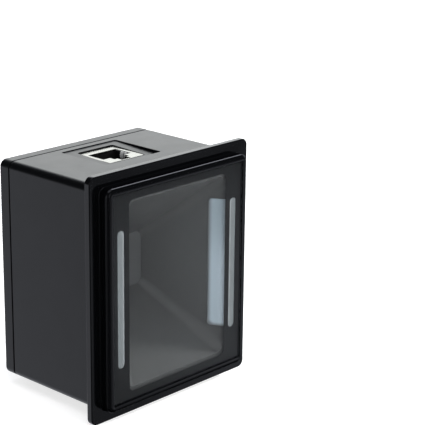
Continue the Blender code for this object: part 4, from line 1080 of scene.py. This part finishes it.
def build_lights(bar_finish, panel_finish):
    """Light bars with a softened front edge behind the print, and the milky panels in the funnel's sides."""
    bar_front = PRINT_BACK_Y + PRINT_CLEARANCE
    for side, word in ((-1, "left"), (1, "right")):
        rings = [bar_ring(side, grow + BAR_SPREAD, bar_front + back) for grow, back in soft_edge(BAR_EDGE)]
        rings.append(bar_ring(side, BAR_SPREAD, BAR_LOW.y))
        rings.append(bar_ring(side, 0.0, BAR_LOW.y + BAR_SPREAD))
        rings.append(bar_ring(side, 0.0, BAR_HIGH.y))
        dress(solid("light_bar_lens_" + word, rings), "bar_white", [bar_finish], "light_bar_" + word)
        levels = soft_edge(DIFFUSER_EDGE) + [(0.0, DIFFUSER_THICKNESS)]
        panel = diffuser_solid("diffuser_panel_" + word, side, 0.0, levels)
        dress(panel, "diffuser_milky", [panel_finish], "diffuser_" + word)


def thread_outline(radius, turns):
    """Outline of a threaded shank at a number of turns along it, highest where the thread's crest passes."""
    points = []
    for step, (u, v) in enumerate(circle(radius)):
        share = (turns - step / ROUND_STEPS) % 1.0
        valley = abs(2.0 * share - 1.0)
        points.append((u * (1 - THREAD_DEPTH * valley), v * (1 - THREAD_DEPTH * valley)))
    return points


def cut_cross_recess(screw, head_radius, head_height):
    """Tapered cross recess in a screw's head."""
    arm, half = head_radius * RECESS_ARM, head_radius * RECESS_HALF_WIDTH
    depth = head_height * RECESS_DEPTH
    for u, v in ((arm, half), (half, arm)):
        wide = [(-u, -v), (u, -v), (u, v), (-u, v)]
        narrow = [(x * RECESS_TAPER, z * RECESS_TAPER) for x, z in wide]
        tool = solid("tool", [ring_y(wide, -depth, SCREW_AXIS), ring_y(narrow, depth, SCREW_AXIS)])
        cut(screw, tool)


def screw_form(kind):
    """Mesh of a pan-head screw along +Y from its head's top at y = 0, with a thread and a cross recess."""
    radius, head_radius, head_height, pitch = SCREW_KINDS[kind]
    low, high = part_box(kind + "_1")
    length = high.y - low.y - head_height
    rings = []
    for angle in QUARTER:
        reach = head_radius * (HEAD_FLAT + (1 - HEAD_FLAT) * math.sin(angle))
        y = head_height * HEAD_SHOULDER * (1 - math.cos(angle))
        rings.append(ring_y(circle(reach), y, SCREW_AXIS))
    rings.append(ring_y(circle(head_radius), head_height, SCREW_AXIS))
    rows = round(length / pitch * THREAD_ROWS)
    for row in range(rows + 1):
        left = length * (1 - row / rows)
        taper = min(1.0, TIP_SHARE + left / (TIP_LENGTH * radius))
        outline = thread_outline(radius * taper, row / THREAD_ROWS)
        rings.append(ring_y(outline, head_height + length * row / rows, SCREW_AXIS))
    screw = solid(kind + "_form", rings)
    cut_cross_recess(screw, head_radius, head_height)
    mesh = screw.data
    bpy.data.objects.remove(screw, do_unlink=True)
    return mesh


def build_screws(material):
    """Every screw, with its head where its solid has it: board screws face forward, the others back."""
    for kind in SCREW_KINDS:
        form = screw_form(kind)
        for node in starting_with(kind):
            low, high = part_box(node)
            x, z = middle_of(node)
            place = Matrix.Translation((x, high.y, z)) @ Matrix.Rotation(math.pi, 4, "Z")
            if kind == "board_screw":
                place = Matrix.Translation((x, low.y, z))
            mesh = form.copy()
            mesh.transform(place)
            dress(new_object(node + "_threaded", mesh), "screw_steel", [material], node)


def build_barrel(material):
    """Threaded lens barrel with a chamfered mouth, two key slots and a stepped bore."""
    low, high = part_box("lens_barrel")
    axis = middle_of("lens_barrel")
    outer = (high.x - low.x) / 2
    seat_y = low.y + FIT_GAP + LENS_DOME + LENS_RIM + FIT_GAP
    profile = [(MOUTH_RADIUS, low.y + BARREL_EDGE), (MOUTH_RADIUS + BARREL_EDGE, low.y)]
    profile += [(outer - BARREL_EDGE, low.y), (outer, low.y + BARREL_EDGE)]
    ridges = int((high.y - low.y - 3 * BARREL_EDGE) / BARREL_RIDGE)
    for index in range(ridges):
        y = low.y + 2 * BARREL_EDGE + index * BARREL_RIDGE
        profile += [(outer, y), (outer - BARREL_RIDGE_DEPTH, y + BARREL_RIDGE / 2)]
    profile += [(outer, high.y), (MOUTH_RADIUS, high.y)]
    profile += [(IRIS_RADIUS, seat_y + 2 * FIT_GAP), (IRIS_RADIUS, seat_y), (MOUTH_RADIUS, seat_y)]
    barrel = turned("lens_barrel_threaded", axis, profile, loop=True)
    for side in (-1, 1):
        xs = sorted((side * (MOUTH_RADIUS - OVERLAP), side * (outer + OVERLAP)))
        slot_low = (xs[0], low.y - OVERLAP, axis[1] - KEY_SLOT_WIDTH / 2)
        slot_high = (xs[1], low.y + KEY_SLOT_DEPTH, axis[1] + KEY_SLOT_WIDTH / 2)
        cut(barrel, block(slot_low, slot_high))
    dress(barrel, "screw_steel", [material], "lens_barrel")


def build_lens(material):
    """Domed front lens."""
    low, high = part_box("lens_element")
    radius = (high.x - low.x) / 2
    profile = []
    for step in range(1, LENS_STEPS + 1):
        angle = math.radians(90 * step / LENS_STEPS)
        profile.append((radius * math.sin(angle), low.y + LENS_DOME * (1 - math.cos(angle))))
    profile += [(radius, high.y - BARREL_EDGE), (radius - BARREL_EDGE, high.y)]
    lens = turned("lens_domed", middle_of("lens_barrel"), profile)
    dress(lens, "lens_glass", [material], "lens_element")


def socket_outline():
    """The socket's stepped mouth in (x, y): contacts at the back, latch notch at the front."""
    rear_y = JACK_HIGH.y - SOCKET_REAR_MARGIN
    front_y = rear_y - SOCKET_HEIGHT
    latch_y = front_y - LATCH_HEIGHT
    key_y = JACK_LOW.y + KEY_MARGIN
    right = [(KEY_HALF_WIDTH, key_y), (KEY_HALF_WIDTH, latch_y), (LATCH_HALF_WIDTH, latch_y)]
    right += [(LATCH_HALF_WIDTH, front_y), (SOCKET_HALF_WIDTH, front_y), (SOCKET_HALF_WIDTH, rear_y)]
    return right + [(-x, y) for x, y in reversed(right)]


def jack_ring(grow, z):
    """Outline of the connector's shell with folded corners, grown, at a height."""
    return [Vector((x, y, z)) for x, y in top_outline(JACK_HALF, SHIELD_FOLD, grow, EDGE_STEPS)]


def prong_path(wall, top):
    """Middle line of a spring prong that leans into the mouth from its side wall, in (x, z)."""
    middle = top - SHIELD_WALL / 2
    return [
        (wall + SHIELD_WALL, middle),
        (wall - PRONG_LEAN / 4, middle - PRONG_LEAN / 2),
        (wall - PRONG_LEAN / 2, top - 2 * SHIELD_WALL),
        (wall - PRONG_LEAN, top - PRONG_LENGTH / 2),
        (wall - PRONG_LEAN / 2, top - PRONG_LENGTH),
    ]


def build_jack_shell(shell_finish, prong_finish):
    """Folded metal shell, open below, with the socket's mouth and its spring prongs."""
    top, bottom = JACK_HIGH.z, JACK_LOW.z
    rings = [jack_ring(-SHIELD_WALL, top - SHIELD_WALL)]
    rings += [jack_ring(grow, bottom) for grow in (-SHIELD_WALL, 0.0)]
    rings += [jack_ring(grow, top - down) for grow, down in reversed(soft_edge(SHIELD_EDGE))]
    shell = solid("jack_shell", rings)
    cut(shell, upright(socket_outline(), top - 2 * SHIELD_WALL, top + FIT_GAP))
    for side in (-1, 1):
        path = [Vector((side * x, z)) for x, z in prong_path(SOCKET_HALF_WIDTH, top)]
        outline = strip_outline(path, PRONG_THICKNESS)
        for y0, y1 in PRONGS:
            prong = solid("tool", [[Vector((x, y, z)) for x, z in outline] for y in (y0, y1)])
            join(shell, prong)
    for polygon in shell.data.polygons:
        x, y, z = polygon.center
        in_mouth = abs(x) < SOCKET_HALF_WIDTH + OVERLAP
        below_face = top - 2 * PRONG_LENGTH < z < top - SHIELD_WALL / 2
        polygon.material_index = int(in_mouth and below_face)
    return dress(shell, "shield_nickel", [shell_finish, prong_finish], "jack_shield")


def strip_outline(path, thickness):
    """Outline of a bent strip about its middle line."""
    sides = ([], [])
    for index, point in enumerate(path):
        before = path[max(index - 1, 0)]
        after = path[min(index + 1, len(path) - 1)]
        along = (after - before).normalized()
        across = Vector((-along.y, along.x)) * thickness / 2
        sides[0].append(point + across)
        sides[1].append(point - across)
    return sides[0] + sides[1][::-1]


def finish_inner_pieces():
    """Finishes of the pieces that keep their CAD shape."""
    worn = {name: row[3:] for name, row in FINISHES.items() if row[3:]}
    for name, words in worn.items():
        material = finish(name, board_tracks if name == "solder_mask" else None)
        for node in starting_with(*words):
            materials = NODES[node].data.materials
            materials.clear()
            materials.append(material)


def light_the_scene():
    """Camera, floor, lamps and surroundings, and plain colour handling."""
    add_camera()
    add_floor()
    add_backdrop()
    add_world()
    add_lamps()
    view = bpy.context.scene.view_settings
    view.view_transform = "Standard"
    view.look = "None"


def build_object():
    """Every piece with its finish."""
    build_housing(finish("body_texture"), finish("front_polish"))
    build_rear_cover(finish("cover_texture"))
    build_window(window_glass("pane_glass"), finish("window_ink"))
    build_baffle(finish("baffle_plastic"))
    # The bars get a painted highlight and the milky panels painted light and shade in their colour
    build_lights(finish("bar_plastic", bar_painted_highlight), finish("panel_plastic", panel_painted_light_and_shade))
    build_screws(finish("plated_steel"))
    build_barrel(finish("black_anodised"))
    build_lens(finish("coated_glass"))
    build_jack_shell(finish("nickel_plate"), finish("spring_satin"))
    finish_inner_pieces()


light_the_scene()
build_object()
